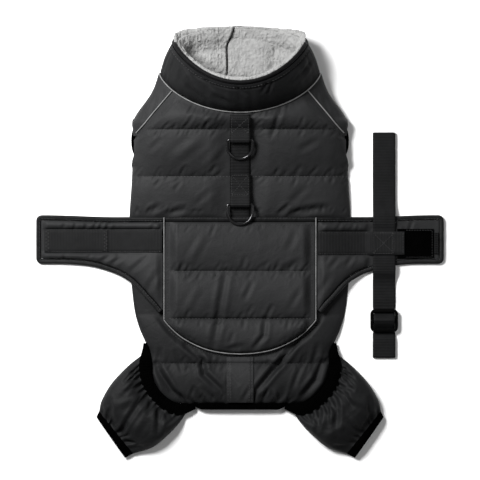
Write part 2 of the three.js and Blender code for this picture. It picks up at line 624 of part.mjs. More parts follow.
// The girth strap, folded at both ends and threaded through its slider.
function addGirthStrap() {
  const flat = WEBBING / 2;
  const doubled = flat + WEBBING + SEAM_GAP;
  const fold = (y, way) =>
    [-75, -25, 25, 75].map((turn) => {
      const radius = (WEBBING + SEAM_GAP) / 2;
      return [y + way * (radius * Math.cos(degrees(turn)) - radius - flat), flat + radius + radius * Math.sin(degrees(turn))];
    });
  const onWing = WING_WALL + SEAM_GAP + flat;
  const onBinding = EDGE_BINDING.height + SEAM_GAP + flat + 0.2;
  const overBar = SLIDER.high + SEAM_GAP + flat + 0.2;
  const b = SLIDER.middle / 2;
  const slot = (SLIDER.length - 2 * SLIDER.bar - SLIDER.middle) / 2;
  const middle = [
    [56, flat],
    [85, flat],
    ...fold(STRAP.top, 1),
    [100, doubled],
    [70, doubled],
    [46, doubled],
    [38, doubled + 0.6],
    [29, onBinding],
    [19.5, onBinding],
    [12.5, onWing],
    [0, onWing],
    [-14.5, onWing],
    [-17, onBinding],
    [-31, onBinding],
    [-38, 2.6],
    [-46, flat],
    [-60, flat],
    [SLIDER.y + b + slot, flat],
    [SLIDER.y + b + 0.35 * slot, lerp(flat, overBar, 0.72)],
    [SLIDER.y + b - 0.4, overBar],
    [SLIDER.y, overBar + 0.2],
    [SLIDER.y - b + 0.4, overBar],
    [SLIDER.y - b - 0.35 * slot, lerp(flat, overBar, 0.72)],
    [SLIDER.y - b - slot, flat],
    [SLIDER.y - SLIDER.length / 2 - 1.5, flat + 0.2],
    [SLIDER.y - SLIDER.length / 2 - 7, doubled],
    [STRAP.bottom + 6, doubled],
    ...fold(STRAP.bottom, -1).reverse(),
    [STRAP.bottom + 6, flat],
    [SLIDER.y - SLIDER.length / 2 - 9, flat],
  ];
  parts.girth_strap = [ribbon(middle, WEBBING, STRAP.x, STRAP.width), WEBBING_CLOTH];

  const s = SLIDER;
  const outline = (x0, x1, y0, y1, r) => {
    const corners = [[x1 - r, y1 - r, 0], [x0 + r, y1 - r, 90], [x0 + r, y0 + r, 180], [x1 - r, y0 + r, 270]];
    return corners.flatMap(([x, y, turn]) =>
      steps(3).map((t) => {
        const angle = degrees(turn + 90 * t);
        return new THREE.Vector2(x + r * Math.cos(angle), y + r * Math.sin(angle));
      }),
    );
  };
  const frame = new THREE.Shape(outline(-s.width / 2, s.width / 2, -s.length / 2, s.length / 2, 4));
  const slotHalf = s.width / 2 - s.edge;
  for (const [from, to] of [[b, b + slot], [-b - slot, -b]])
    frame.holes.push(new THREE.Path(outline(-slotHalf, slotHalf, from, to, 0.4)));
  const slider = new THREE.ExtrudeGeometry(frame, { depth: s.high - s.low, bevelEnabled: false });
  slider.translate(STRAP.x, s.y, s.low);
  parts.slider = [slider, BUCKLE_PLASTIC];
}

// Harness

// The harness strap's top line in the plane x = 0, by distance above it.
function overStrap(y, height) {
  const p = off(back, 0, y, SEAM_GAP + 0.1 + WEBBING + height);
  return [p.y, p.z];
}

const rings = {};

function addHarness() {
  const strapU = (y, x) => Math.asin(x / bodyHalf(y)) / backEdge(y);
  const rows = channelRows(BACK_QUILTING).filter((y) => y > HARNESS.from && y < HARNESS.to);
  const half = HARNESS.width / 2;
  const pairs = (x, y) => [SEAM_GAP + 0.1 + WEBBING, SEAM_GAP + 0.1].map((d) => off(back, strapU(y, x), y, d));
  parts.harness_strap = [sheet([-half, 0, half], [HARNESS.from, ...rows, HARNESS.to], pairs), WEBBING_CLOTH];

  for (const ring of RINGS) {
    const { fold } = HARNESS;
    const bend = D_RING.wire + D_RING.play + fold / 2;
    const barHeight = SEAM_GAP + bend + fold / 2;
    const [barY, barZ] = overStrap(ring.y, barHeight);
    const [aheadY, aheadZ] = overStrap(ring.y + 8, barHeight);
    const lean = Math.atan2(aheadZ - barZ, aheadY - barY);
    const lowerLayer = SEAM_GAP + fold / 2;
    const upperLayer = lowerLayer + fold + SEAM_GAP;
    const shares = [1, 0.85, 0.7, 0.55, 0.42];
    const turn = (degree) => {
      const angle = degrees(degree) + lean;
      return [barY + bend * Math.cos(angle), barZ + bend * Math.sin(angle)];
    };
    const middle = [
      ...shares.map((share) => overStrap(ring.y + share * ring.tail, upperLayer)),
      ...[70, 105, 140, 180, 220, 255, 285].map(turn),
      ...shares.map((share) => overStrap(ring.y + share * ring.tail, lowerLayer)).reverse(),
    ];
    parts["ring_loop_" + ring.name] = [ribbon(middle, fold, 0, HARNESS.width), WEBBING_CLOTH];
    rings[ring.name] = { barY, barZ };
  }
}

// A D-ring lies in its own plane: the bar on the X axis, the bow towards -Y.
function addRings() {
  const { half, leg, wire } = D_RING;
  const bar = [-half + 1.5, -half / 2, 0, half / 2, half - 1.5].map((x) => [x, 0]);
  const bow = steps(12).map((t) => [half * Math.cos(Math.PI * t), -leg - half * Math.sin(Math.PI * t)]);
  const path = [...bar, [half, -1.5], [half, -leg / 2], ...bow, [-half, -leg / 2], [-half, -1.5]];
  const geometry = sweep(path.map(([x, y]) => point(x, y, 0)), () => round(wire, 6), true);
  const bowY = (ring) => ring.y - leg - half;
  const rests = {
    upper: back(0, bowY(RINGS[0])).z + SEAM_GAP + 0.1 + WEBBING,
    lower: saddleSurface(0, bowY(RINGS[1]) - wire).z,
  };
  for (const ring of RINGS) {
    const { barY, barZ } = rings[ring.name];
    const drop = barZ - (rests[ring.name] + SEAM_GAP + 0.2 + wire);
    const mesh = new THREE.Mesh(geometry, METAL);
    mesh.name = "d_ring_" + ring.name;
    mesh.position.set(0, barY, barZ);
    mesh.rotation.x = Math.asin(drop / (leg + half));
    ringMeshes.push(mesh);
  }
}

const ringMeshes = [];

// Tail end

function addTailStrip() {
  const angleOf = (x, y) => Math.asin(x / bodyHalf(y)) / (Math.PI / 2);
  const rows = channelRows(REAR_QUILTING).filter((y) => y < TAIL_STRIP.from && y > TAIL_STRIP.to);
  const pairs = (x, y) =>
    [SEAM_GAP + 0.5 + TAIL_STRIP.wall, SEAM_GAP + 0.5].map((d) => {
      const p = off(rear, angleOf(x, y), y, 0);
      return point(p.x, p.y, Math.max(rear(0, y).z, rear(angleOf(x, y), y).z) + d);
    });
  const us = [-1, -0.5, 0, 0.5, 1].map((t) => t * TAIL_STRIP.half);
  parts.tail_strip = [sheet(us, [TAIL_STRIP.from, ...rows, TAIL_STRIP.to], pairs), SHELL_CLOTH];
}

// A tube pressed flat: across(u, v) gives x and y, and height(u, v) its upper side. The two
// layers lie on each other with a narrow slit between them.
function flatTube(columns, vs, across, height, edge) {
  const slit = 0.5;
  const margin = 0.07;
  const around = [
    ...steps(columns).map((t) => ({ t, upper: true })),
    ...steps(Math.round(columns / 3)).map((t) => ({ t: 1 - t, upper: false })),
  ];
  const level = edge + slit / 2;
  return tube(around, vs, ({ t, upper }, v) => {
    const lowT = lerp(0.02, 0.98, t);
    const outer = across(upper ? t : lowT, v);
    const inner = across(lerp(margin, 1 - margin, t), v);
    const full = Math.sqrt(Math.max(0, 1 - Math.abs(2 * t - 1) ** 4));
    const top = upper ? Math.max(level + (height(t, v) - level) * full, level + 0.1) : 0;
    return [point(outer.x, outer.y, top), point(inner.x, inner.y, level + (upper ? slit / 2 : -slit / 2))];
  });
}

function addHem() {
  const across = (t, v) => ({ x: lerp(-HEM.half, HEM.half, t), y: lerp(HEM.from, HEM.to, v) });
  parts.hem_band = [flatTube(18, [0, 0.5, 1], across, (t, v) => HEM.height + 0.5 * Math.sin(Math.PI * v), 2.6), ELASTIC];
}

function addLegs() {
  const elastic = new THREE.CatmullRomCurve3(LEG_ELASTIC.map((p) => point(p.x, p.y, 0)));
  const elasticHalf = (t) => LEG.elasticHalf * lerp(0.3, 1, smoothstep(t, 0, 0.22));
  const beside = (t, distance) => {
    const s = clamp(t, 0, 1);
    const tangent = elastic.getTangentAt(s);
    return elastic.getPointAt(s).add(point(tangent.y, -tangent.x, 0).multiplyScalar(distance));
  };
  const legStart = (t) => beside(lerp(0.13, 0.97, t), elasticHalf(lerp(0.13, 0.97, t)) + SEAM_GAP + 0.3);
  const outline = (t, v, side) => {
    const first = legStart(t);
    const xs = [{ v: 0, at: first.x }, ...LEG_OUTLINE.map((r, i) => ({ v: (i + 1) / 4, at: r[side + "X"] }))];
    const ys = [{ v: 0, at: first.y }, ...LEG_OUTLINE.map((r, i) => ({ v: (i + 1) / 4, at: r[side + "Y"] }))];
    return point(through(xs, "v", "at")(v), through(ys, "v", "at")(v), 0);
  };
  // A patch between the elastic, the cuff and the two outlines.
  const last = LEG_OUTLINE[LEG_OUTLINE.length - 1];
  const cuffLine = (t) => point(lerp(last.outerX, last.innerX, t), lerp(last.outerY, last.innerY, t), 0);
  const leg = (t, v) => {
    const ruled = mix(legStart(t), cuffLine(t), v);
    const sides = mix(outline(0, v, "outer"), outline(1, v, "inner"), t);
    const corners = mix(mix(legStart(0), cuffLine(0), v), mix(legStart(1), cuffLine(1), v), t);
    return ruled.add(sides).sub(corners);
  };
  const legHeight = (t, v) => {
    const swell = lerp(LEG.elasticHeight, LEG.height, smoothstep(v, 0, 0.38)) * lerp(1, 0.42, smoothstep(v, 0.55, 1));
    const atElastic = 1.5 * Math.cos(2 * Math.PI * LEG.gathers * t) * (1 - smoothstep(v, 0.1, 0.5));
    const atCuff = 1.1 * Math.cos(2 * Math.PI * LEG.cuffGathers * t) * smoothstep(v, 0.6, 0.95);
    return swell + atElastic + atCuff;
  };
  const legRows = [0, 0.08, 0.2, 0.38, 0.6, 0.82, 1];
  const cuff = (t, v) => mix(cuffLine(t), point(0, 0, 0).lerpVectors(point(CUFF.from.x, CUFF.from.y, 0), point(CUFF.to.x, CUFF.to.y, 0), t), lerp(0.09, 1, v));
  const bandPath = (t, v) => beside(t, lerp(-1, 1, v) * elasticHalf(t));
  for (const [name, side] of [["left", 1], ["right", -1]]) {
    const placed = (f) => (t, v) => {
      const p = f(t, v);
      return { x: side * p.x, y: p.y };
    };
    parts["leg_elastic_" + name] = [
      flatTube(20, [0, 0.5, 1], placed(bandPath), (t, v) => LEG.elasticHeight + 0.6 * Math.sin(Math.PI * v), 3.2),
      ELASTIC,
    ];
    parts["leg_" + name] = [flatTube(LEG.gathers * 2, legRows, placed(leg), legHeight, LEG.edge), SHELL_CLOTH];
    parts["cuff_" + name] = [
      flatTube(14, [0, 0.5, 1], placed(cuff), (t, v) => LEG.cuffHeight + 0.5 * Math.sin(Math.PI * v), 2.8),
      ELASTIC,
    ];
  }
}

addBody();
addBelly();
addArmholes();
addCollar();
addPiping();
addSaddle();
addWings();
addSaddleBinding();
addStrips();
addGirthStrap();
addHarness();
addRings();
addTailStrip();
addHem();
addLegs();

const coat = new THREE.Group();
for (const [name, [geometry, material]] of Object.entries(parts)) {
  const mesh = new THREE.Mesh(geometry, material);
  mesh.name = name;
  coat.add(mesh);
}
coat.add(...ringMeshes);

export default coat;
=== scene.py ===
"""A dog's quilted winter coat, laid flat: its cloth, padding, sewing, fittings and studio.

Shapes are worked out in millimetres, in the part's own frame, and made in metres.
"""

import math
from collections import namedtuple
from itertools import product

import bpy
import numpy as np
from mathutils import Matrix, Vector
from mathutils.bvhtree import BVHTree


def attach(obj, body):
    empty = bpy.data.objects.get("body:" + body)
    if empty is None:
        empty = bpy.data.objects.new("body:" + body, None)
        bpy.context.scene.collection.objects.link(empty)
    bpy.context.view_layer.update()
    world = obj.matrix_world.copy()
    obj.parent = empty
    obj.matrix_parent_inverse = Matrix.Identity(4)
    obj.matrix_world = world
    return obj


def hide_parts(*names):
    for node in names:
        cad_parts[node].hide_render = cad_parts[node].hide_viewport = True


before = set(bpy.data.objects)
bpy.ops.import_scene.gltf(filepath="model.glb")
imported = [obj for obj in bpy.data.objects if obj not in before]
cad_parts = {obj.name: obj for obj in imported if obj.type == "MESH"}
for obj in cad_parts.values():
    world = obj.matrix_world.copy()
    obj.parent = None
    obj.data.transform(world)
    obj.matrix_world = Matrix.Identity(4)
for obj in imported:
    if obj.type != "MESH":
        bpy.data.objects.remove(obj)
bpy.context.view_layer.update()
MM = 0.001

# The camera, and how a pixel of the photograph maps to the table.
PHOTO_CENTRE = (240, 242)
MM_PER_PIXEL = 1.05
CAMERA_HEIGHT = 3000
CAMERA_Y = 2.1
PHOTO_WIDTH = 480

# The cut of the coat, as its solids have it.
SEAM_GAP = 0.3
SHELL_WALL = 4
SHOULDER_WALL = 3
BELLY_WALL = 3
BELLY_INSET = 12
COLLAR_WALL = 3
FLEECE_WALL = 5
WEBBING = 1.6
PIPING_RADIUS = 0.9

BodyRow = namedtuple("BodyRow", "y half crown")
BODY = [BodyRow(*row) for row in (
    (172, 84, 34), (156, 92.5, 38), (133, 107.5, 37), (119, 112.5, 33), (100, 112.8, 27),
    (68, 113.5, 17), (29, 116, 9.5), (0, 116.5, 9), (-42, 114, 9), (-69, 109.5, 9), (-92, 103.5, 9),
    (-104, 99, 9), (-116, 94.9, 9), (-130, 94.9, 9), (-143, 93, 9), (-153, 88, 8.5),
    (-162, 79.5, 7.5), (-169, 67.5, 6.5),
)]
Corner = namedtuple("Corner", "x y")
RAGLAN_LOW = Corner(106.8, 111)
RAGLAN_HIGH = Corner(69.5, 158)
CollarRing = namedtuple("CollarRing", "half y back throat bow side rise low")
COLLAR_SEAM = CollarRing(half=83.5, y=177, back=42, throat=15, bow=1.35, side=16, rise=24, low=0)
COLLAR_MOUTH = CollarRing(half=70, y=207, back=44.5, throat=16.9, bow=1.6, side=34, rise=38, low=1)
LINING_END = CollarRing(half=68, y=159, back=21, throat=3, bow=1.35, side=18, rise=-14.5, low=0)

BACK_QUILTING = [26, 68.4, 117.4, 158]
REAR_QUILTING = [-77, -127, -169]
SADDLE_QUILTING = [20.9, -30.5, -80]
BACK_LOFT = 6
REAR_LOFT = 6
SADDLE_LOFT = 6.5
TURN_FROM = BACK_QUILTING[2]
TURN_TO = RAGLAN_HIGH.y

Armhole = namedtuple("Armhole", "x y half_x half_y binding low high")
ARMHOLE = Armhole(x=96.5, y=104, half_x=14, half_y=18, binding=2.1, low=2.2, high=3.4)

Saddle = namedtuple("Saddle", "top_middle top_end reach side corner wall")
SADDLE = Saddle(top_middle=26.3, top_end=28.3, reach=214, side=79.4, corner=6, wall=3.4)
SADDLE_LOWER_EDGE = [Corner(*row) for row in (
    (0, -118), (16, -117), (34, -113.5), (50, -107), (64, -98.5), (77, -86), (88, -71), (98, -60),
    (107, -50), (115, -42.5), (126, -35.5), (140, -30), (154, -26), (176, -23.5), (214, -23),
)]
BINDING_WIDTH = 5.2
BINDING_HEIGHT = 4.2
WING_WALL = 3.2
WING_LOFT = 3.8
WING_END = 208.5

Strip = namedtuple("Strip", "width left_y right_y inner_end lap left_end right_end")
STRIP = Strip(width=24.6, left_y=1.3, right_y=-1.2, inner_end=81.2, lap=138, left_end=205, right_end=172.5)
Plate = namedtuple("Plate", "x0 x1 y0 y1")
HOOK_PATCH = Plate(164.8, 203, -17.4, 13.8)
PULL_TAB = Plate(203.6, 208, -12.2, 9.8)
Girth = namedtuple("Girth", "x width top bottom")
GIRTH = Girth(x=151.2, width=24.6, top=115.2, bottom=-121.8)
Slider = namedtuple("Slider", "y width length edge bar middle low high")
SLIDER = Slider(y=-82.4, width=30, length=26.2, edge=2.3, bar=4, middle=5.2, low=1.9, high=5.1)
SLIDER_SHOWN = SLIDER._replace(width=29, length=24.6, edge=3.3, high=5.7)
SLIDER_CORNER = 4.6
SLIDER_BEVEL = 1.0

HARNESS_WIDTH = 21
HARNESS_FROM = 27
HARNESS_TO = 151.5
FOLD_WALL = 1.4
DRing = namedtuple("DRing", "wire half leg play")
D_RING = DRing(wire=1.6, half=13.2, leg=7.7, play=0.35)
Loop = namedtuple("Loop", "name y tail")
LOOPS = [Loop("upper", 107.5, 41), Loop("lower", 40.4, 32)]

Tail = namedtuple("Tail", "half start end wall")
TAIL_STRIP = Tail(half=14, start=-120.4, end=-168, wall=1.2)
Hem = namedtuple("Hem", "half start end height gathers reach")
HEM = Hem(half=43.5, start=-169.3, end=-175.6, height=7, gathers=14, reach=50)

LEG_ELASTIC = [Corner(*row) for row in (
    (-99.8, -106), (-100.4, -118), (-101, -133), (-98.9, -146), (-93, -156.4), (-84, -166.6),
    (-73, -174.2), (-62, -177), (-54, -175.6),
)]
LegRow = namedtuple("LegRow", "outer_x outer_y inner_x inner_y")
LEG_OUTLINE = [LegRow(*row) for row in (
    (-117.6, -130.2, -63, -189), (-134.4, -148, -74.6, -201.6), (-144.9, -165.9, -91.4, -215.2),
    (-147.6, -177.2, -111.8, -221.8),
)]
CUFF_OUTER = Corner(-150.6, -183.4)
CUFF_INNER = Corner(-120.4, -226.3)
Leg = namedtuple("Leg", "height edge elastic_half elastic_height cuff_height gathers cuff_gathers")
LEG = Leg(
    height=21, edge=3.4, elastic_half=4.7, elastic_height=8.6, cuff_height=7.5, gathers=13, cuff_gathers=7
)


# Numbers

def lerp(a, b, t):
    return a + (b - a) * t


def smoothstep(x, low, high):
    t = np.clip((np.asarray(x, float) - low) / (high - low), 0, 1)
    return t * t * (3 - 2 * t)


def point(x, y, z):
    return np.stack(np.broadcast_arrays(x, y, z), -1).astype(float)


def mirrored(points):
    return np.asarray(points) * (-1, 1, 1)


def unit(vectors):
    return vectors / np.maximum(np.linalg.norm(vectors, axis=-1, keepdims=True), 1e-12)


def once_round(count):
    """Angles once round, without the last that would repeat the first."""
    return np.linspace(0, 2 * np.pi, count, endpoint=False)


def blunt(a, power):
    """1 over the middle of -1 to 1, rounded off to 0 at its ends."""
    return np.sqrt(np.maximum(0, 1 - np.abs(a) ** power))


def gone_along(points):
    """The distance along a line of points to each of them."""
    return np.concatenate([[0], np.cumsum(np.linalg.norm(np.diff(points, axis=0), axis=1))])


def keep_over(top, under, gap):
    top[..., 2] = np.maximum(top[..., 2], under[..., 2] + gap)


def through(at, value):
    """A smooth curve through points: the same one that the solids follow."""
    order = np.argsort(at)
    at, value = np.array(at, float)[order], np.array(value, float)[order]
    last = len(at) - 1
    low, high = np.maximum(np.arange(last + 1) - 1, 0), np.minimum(np.arange(last + 1) + 1, last)
    slope = (value[high] - value[low]) / (at[high] - at[low])

    def curve(x):
        x = np.clip(x, at[0], at[-1])
        k = np.clip(np.searchsorted(at, x, side="right") - 1, 0, last - 1)
        span = at[k + 1] - at[k]
        t = (x - at[k]) / span
        near = (1 + 2 * t) * (1 - t) ** 2 * value[k] + t * (1 - t) ** 2 * span * slope[k]
        far = t * t * (3 - 2 * t) * value[k + 1] - t * t * (1 - t) * span * slope[k + 1]
        return near + far

    return curve


def grain(points, size, seed):
    """Smooth seeded noise from -1 to 1 at points, with lumps of about a size."""
    spot = np.asarray(points, float) / size
    cell = np.floor(spot).astype(np.int64)
    t = spot - cell
    t = t * t * (3 - 2 * t)
    total = 0
    for corner in product((0, 1), repeat=3):
        key = cell + corner
        mixed = key[..., 0] * 73856093 ^ key[..., 1] * 19349663 ^ key[..., 2] * 83492791 ^ seed * 2654435761
        mixed = (mixed ^ (mixed >> 13)) * 1274126177 & 0x7FFFFFFF
        value = (mixed ^ (mixed >> 16)) % 65536 / 32767.5 - 1
        weight = np.prod([t[..., i] if corner[i] else 1 - t[..., i] for i in range(3)], axis=0)
        total = total + value * weight
    return total


def off(surface, u, v, distance, step=1e-3):
    """Points at a distance from a surface, along its own normal."""
    along = surface(u + step, v) - surface(u - step, v)
    across = surface(u, v + step) - surface(u, v - step)
    return surface(u, v) + unit(np.cross(along, across)) * np.asarray(distance, float)[..., None]


def normals_of(grid):
    """Upward unit normals of a grid of points."""
    normal = unit(np.cross(np.gradient(grid, axis=1), np.gradient(grid, axis=0)))
    return normal * np.where(normal[..., 2:] < 0, -1, 1)


# Surfaces of the body

body_half = through([r.y for r in BODY], [r.half for r in BODY])
body_crown = through([r.y for r in BODY], [r.crown for r in BODY])
saddle_low = through([p.x for p in SADDLE_LOWER_EDGE], [p.y for p in SADDLE_LOWER_EDGE])


def section(angle, y):
    sine = np.sin(angle)
    return point(body_half(y) * sine, y, body_crown(y) * np.cos(angle) * np.sqrt(1 + sine * sine))


def channel(y, seams):
    """How full a quilted channel is at y, from 0 on a seam to 1."""
    full = np.zeros_like(np.asarray(y, float))
    lines = sorted(seams)
    for low, high in zip(lines, lines[1:]):
        inside_it = (y >= low) & (y <= high)
        full = np.where(inside_it, np.abs(np.sin(np.pi * (y - low) / (high - low))) ** 0.55, full)
    return full


def bowed(ring, s):
    return np.where(s < 0, ring.y - ring.back * np.abs(s) ** ring.bow, ring.y + ring.throat * s)


def collar_ring(ring, angle, fall):
    s = np.sin(angle)
    low = ring.side * np.maximum(0, 1 - s) ** fall + ring.low * s
    return point(ring.half * np.cos(angle), bowed(ring, s), np.where(s < 0, ring.side - ring.rise * s, low))


def seam_ring(angle):
    return collar_ring(COLLAR_SEAM, angle, 1.5)


def mouth_ring(angle):
    return collar_ring(COLLAR_MOUTH, angle, 1.15)


def raglan_x(y):
    return lerp(RAGLAN_LOW.x, RAGLAN_HIGH.x, (y - RAGLAN_LOW.y) / (RAGLAN_HIGH.y - RAGLAN_LOW.y))


SEAM_ANGLE = math.acos(RAGLAN_HIGH.x / COLLAR_SEAM.half)
RAGLAN_GAP = 0.9


def side_angle(y):
    lowered = smoothstep(np.abs(y - ARMHOLE.y), ARMHOLE.half_y + 2.5, ARMHOLE.half_y + 9)
    half = body_half(y)
    return lerp(np.arcsin((half - 3) / half), np.pi / 2, lowered)


def back_edge(y):
    at_raglan = np.arcsin(np.clip((raglan_x(y) - RAGLAN_GAP / 2) / body_half(y), -1, 1))
    return np.where(y < RAGLAN_LOW.y - 4, side_angle(y), np.minimum(side_angle(y), at_raglan))


def turned(y):
    return smoothstep(y, TURN_FROM, TURN_TO)


def to_seam(y, seam_y):
    return np.where(y < TURN_FROM, y, lerp(TURN_FROM, seam_y, (y - TURN_FROM) / (TURN_TO - TURN_FROM)))


def pressed(x):
    return lerp(0.2, 1, smoothstep(np.abs(x), 14, 32))


def back(u, y, loft=BACK_LOFT):
    """The upper back's outer surface, u from -1 to 1 across and y along its edge."""
    u, y = np.broadcast_arrays(np.asarray(u, float), np.asarray(y, float))
    angle = u * back_edge(y)
    seam = seam_ring(1.5 * np.pi + u * (np.pi / 2 - SEAM_ANGLE) * 0.995)
    row_y = to_seam(y, seam[..., 1])
    share = turned(y)[..., None]
    p = section(angle, row_y) * (1 - share) + seam * share
    p[..., 1] = row_y - SEAM_GAP * turned(y)
    at_raglan = lerp(1, smoothstep(1 - np.abs(u), 0, 0.2), smoothstep(y, 95, 112))
    at_collar = 1 - 0.6 * smoothstep(y, 138, 157)
    side = np.maximum(0, np.cos(angle)) ** 0.6
    p[..., 2] += loft * channel(y, BACK_QUILTING) * pressed(p[..., 0]) * side * at_raglan * at_collar
    return p


def plain_inside(surface, u, v, wall):
    """The plain inner side of a body wall, which stays above the belly panel."""
    p = off(lambda s, t: surface(s, t, 0), u, v, -wall)
    over_belly = np.abs(p[..., 0]) < body_half(p[..., 1]) - BELLY_INSET + 7
    floor = np.minimum(BELLY_WALL + SEAM_GAP + 0.1, surface(u, v)[..., 2] - 0.6)
    p[..., 2] = np.maximum(p[..., 2], np.where(over_belly, floor, 0))
    return p


SHOULDER_TURN = 0.75
SHOULDER_SWELL = 4.2
REAR_FULLER = 2.0
COLLAR_FULLER = 4.2
SIDE_LET_OUT = (1.2, 3.0)


def shoulder(u, v, loft=0):
    """A shoulder's outer surface on the right: u from the raglan seam to the side, v up to the collar."""
    u, v = np.broadcast_arrays(np.asarray(u, float), np.asarray(v, float))
    y = lerp(RAGLAN_LOW.y, RAGLAN_HIGH.y, v)
    inner = np.arcsin(np.clip((raglan_x(y) + RAGLAN_GAP / 2) / body_half(y), -1, 1))
    row_y = lerp(y, lerp(y, COLLAR_SEAM.y, v), u)
    angle = lerp(inner, side_angle(row_y), u)
    turn = np.minimum(u / SHOULDER_TURN, 1)
    seam = seam_ring(1.5 * np.pi + lerp((np.pi / 2 - SEAM_ANGLE) * 1.005, np.pi / 2, turn))
    seam[..., 2] *= np.where(u > SHOULDER_TURN, (1 - u) / (1 - SHOULDER_TURN), 1)
    share = turned(y)
    p = section(angle, row_y) * (1 - share[..., None]) + seam * share[..., None]
    on_seam = lerp(RAGLAN_HIGH.y, COLLAR_SEAM.y, u)
    p[..., 1] = row_y + (seam[..., 1] - on_seam - SEAM_GAP) * share
    p[..., 0] += SEAM_GAP * share * turn
    p[..., 2] += loft
    return p


STRAIGHT_LOW = Corner(106.4, 114.5)


def straight_raglan(y):
    share = (y - STRAIGHT_LOW.y) / (RAGLAN_HIGH.y - STRAIGHT_LOW.y)
    return np.minimum(lerp(STRAIGHT_LOW.x, RAGLAN_HIGH.x, share), RAGLAN_LOW.x)


def seam_on_shoulder():
    """Where the raglan seam lies on a shoulder, as its u, so that the seam runs straight."""
    us, vs = np.linspace(0, 0.8, 161), np.linspace(0, 1, 81)
    u, v = np.meshgrid(us, vs)
    p = shoulder(u, v)
    past = p[..., 0] - straight_raglan(p[..., 1])
    found = np.array([np.interp(0, row, us) for row in past])
    return lambda at: np.interp(at, vs, found)


raglan_share = seam_on_shoulder()


def eased(p):
    """The side let out over the armhole, to where its bound edge shows."""
    away = np.abs(p[..., 1] - ARMHOLE.y)
    over = 1 - smoothstep(away, ARMHOLE.half_y + 2.5, ARMHOLE.half_y + 9)
    half = body_half(p[..., 1])
    out = over * lerp(*SIDE_LET_OUT, smoothstep(away, 12, 20))
    out = out * smoothstep(np.abs(p[..., 0]), half - 14, half - 3)
    p[..., 0] += np.sign(p[..., 0]) * out
    return p


def shoulder_cloth(u, v, loft=0):
    return eased(shoulder(lerp(raglan_share(v), 1, u), v, loft))


def back_cloth(u, y, loft=BACK_LOFT):
    """The upper back as it is cut: out to the straight raglan seam."""
    u, y = np.broadcast_arrays(np.asarray(u, float), np.asarray(y, float))
    v = np.clip((y - RAGLAN_LOW.y) / (RAGLAN_HIGH.y - RAGLAN_LOW.y), 0, 1)
    reach = raglan_share(v)
    own = back(np.ones_like(u), y, 0)[..., 0]
    wide = np.where(reach > 0.001, np.maximum(shoulder(reach, v)[..., 0] / own, 1), 1)
    at = np.abs(u) * wide
    beyond = shoulder(np.clip((at - 1) / np.maximum(wide - 1, 1e-6), 0, 1) * reach, v)
    beyond[..., 0] *= np.sign(u)
    let_out = reach > 0.001
    own_u = np.where(let_out, np.sign(u) * np.minimum(at, 1), u)
    p = np.where((let_out & (at > 1))[..., None], beyond, back(own_u, y, 0))
    cosine = np.sqrt(np.maximum(0, 1 - (p[..., 0] / body_half(p[..., 1])) ** 2))
    at_raglan = lerp(1, smoothstep(1 - np.abs(u), 0, 0.14), smoothstep(y, 95, 112))
    at_collar = 1 - 0.6 * smoothstep(y, 138, 157)
    p[..., 2] += loft * channel(y, BACK_QUILTING) * pressed(p[..., 0]) * cosine**0.6 * at_raglan * at_collar
    return eased(p)


def rear(u, y, loft=REAR_LOFT):
    """The rear body's outer surface. It is plain under the saddle and quilted beyond it."""
    u, y = np.broadcast_arrays(np.asarray(u, float), np.asarray(y, float))
    angle = u * np.pi / 2
    p = section(angle, y)
    bare = smoothstep(saddle_low(np.abs(p[..., 0])) - y, 1.5, 11)
    p[..., 2] += loft * channel(y, REAR_QUILTING) * bare * np.maximum(0, np.cos(angle)) ** 0.6
    gather = np.cos(np.pi * HEM.gathers * u) * smoothstep(-y, 142, 166)
    p[..., 2] += 0.18 * loft * gather * smoothstep(HEM.reach + 12 - np.abs(p[..., 0]), 0, 14)
    fuller = REAR_FULLER * np.exp(-(((y + 80) / 24) ** 2)) * np.abs(np.sin(angle)) ** 4
    p[..., 0] += np.sign(p[..., 0]) * fuller
    return p


def drape(x):
    return 10 * (1 - smoothstep(np.abs(x), 80, 136))


def saddle_top(x):
    return lerp(SADDLE.top_middle, SADDLE.top_end, smoothstep(np.abs(x), 130, 205))


def lower_edge(x, inset):
    slope = saddle_low(x + 0.5) - saddle_low(x - 0.5)
    return saddle_low(x) + inset * np.hypot(1, slope)


SADDLE_REACH = SADDLE.side - PIPING_RADIUS - SEAM_GAP


def saddle_surface(x, row, loft=SADDLE_LOFT):
    """The saddle between its pipings: row is y down to the last line, and 1 past it at the curved edge."""
    x, row = np.broadcast_arrays(np.asarray(x, float), np.asarray(row, float))
    last = SADDLE_QUILTING[-1]
    past = np.clip(last - row, 0, 1)
    low = lower_edge(np.abs(x), 2.2)
    in_last = np.abs(np.sin(np.pi * past)) ** 0.55 * smoothstep(last - low, 2, 16)
    full = np.where(past > 0, in_last, channel(np.maximum(row, last), SADDLE_QUILTING))
    side = smoothstep(SADDLE_REACH - np.abs(x), 3, 13)
    y = np.where(past > 0, lerp(last, low, past), row)
    return point(x, y, drape(x) + SADDLE.wall + loft * full * side)


def collar(angle, v):
    share = np.asarray(v, float)[..., None]
    p = seam_ring(angle) * (1 - share) + mouth_ring(angle) * share
    swell = 1.6 * np.sin(np.pi * v) * smoothstep(p[..., 2], 3, 25)
    return p + point(np.cos(angle), np.sin(angle) * 0.5, 0) * swell[..., None]


def lining(angle, v):
    """The fleece's side towards the collar's shell."""
    s = np.sin(angle)
    end = point(LINING_END.half * np.cos(angle), bowed(LINING_END, s), LINING_END.side + LINING_END.rise * s)
    rim = off(collar, angle, np.ones_like(angle), -COLLAR_WALL - 2 * SEAM_GAP)
    share = np.asarray(v, float)[..., None]
    return end * (1 - share) + rim * share


# Meshes

built = {}


def grid_quads(index):
    return np.stack([index[:-1, :-1], index[:-1, 1:], index[1:, 1:], index[1:, :-1]], -1).reshape(-1, 4)


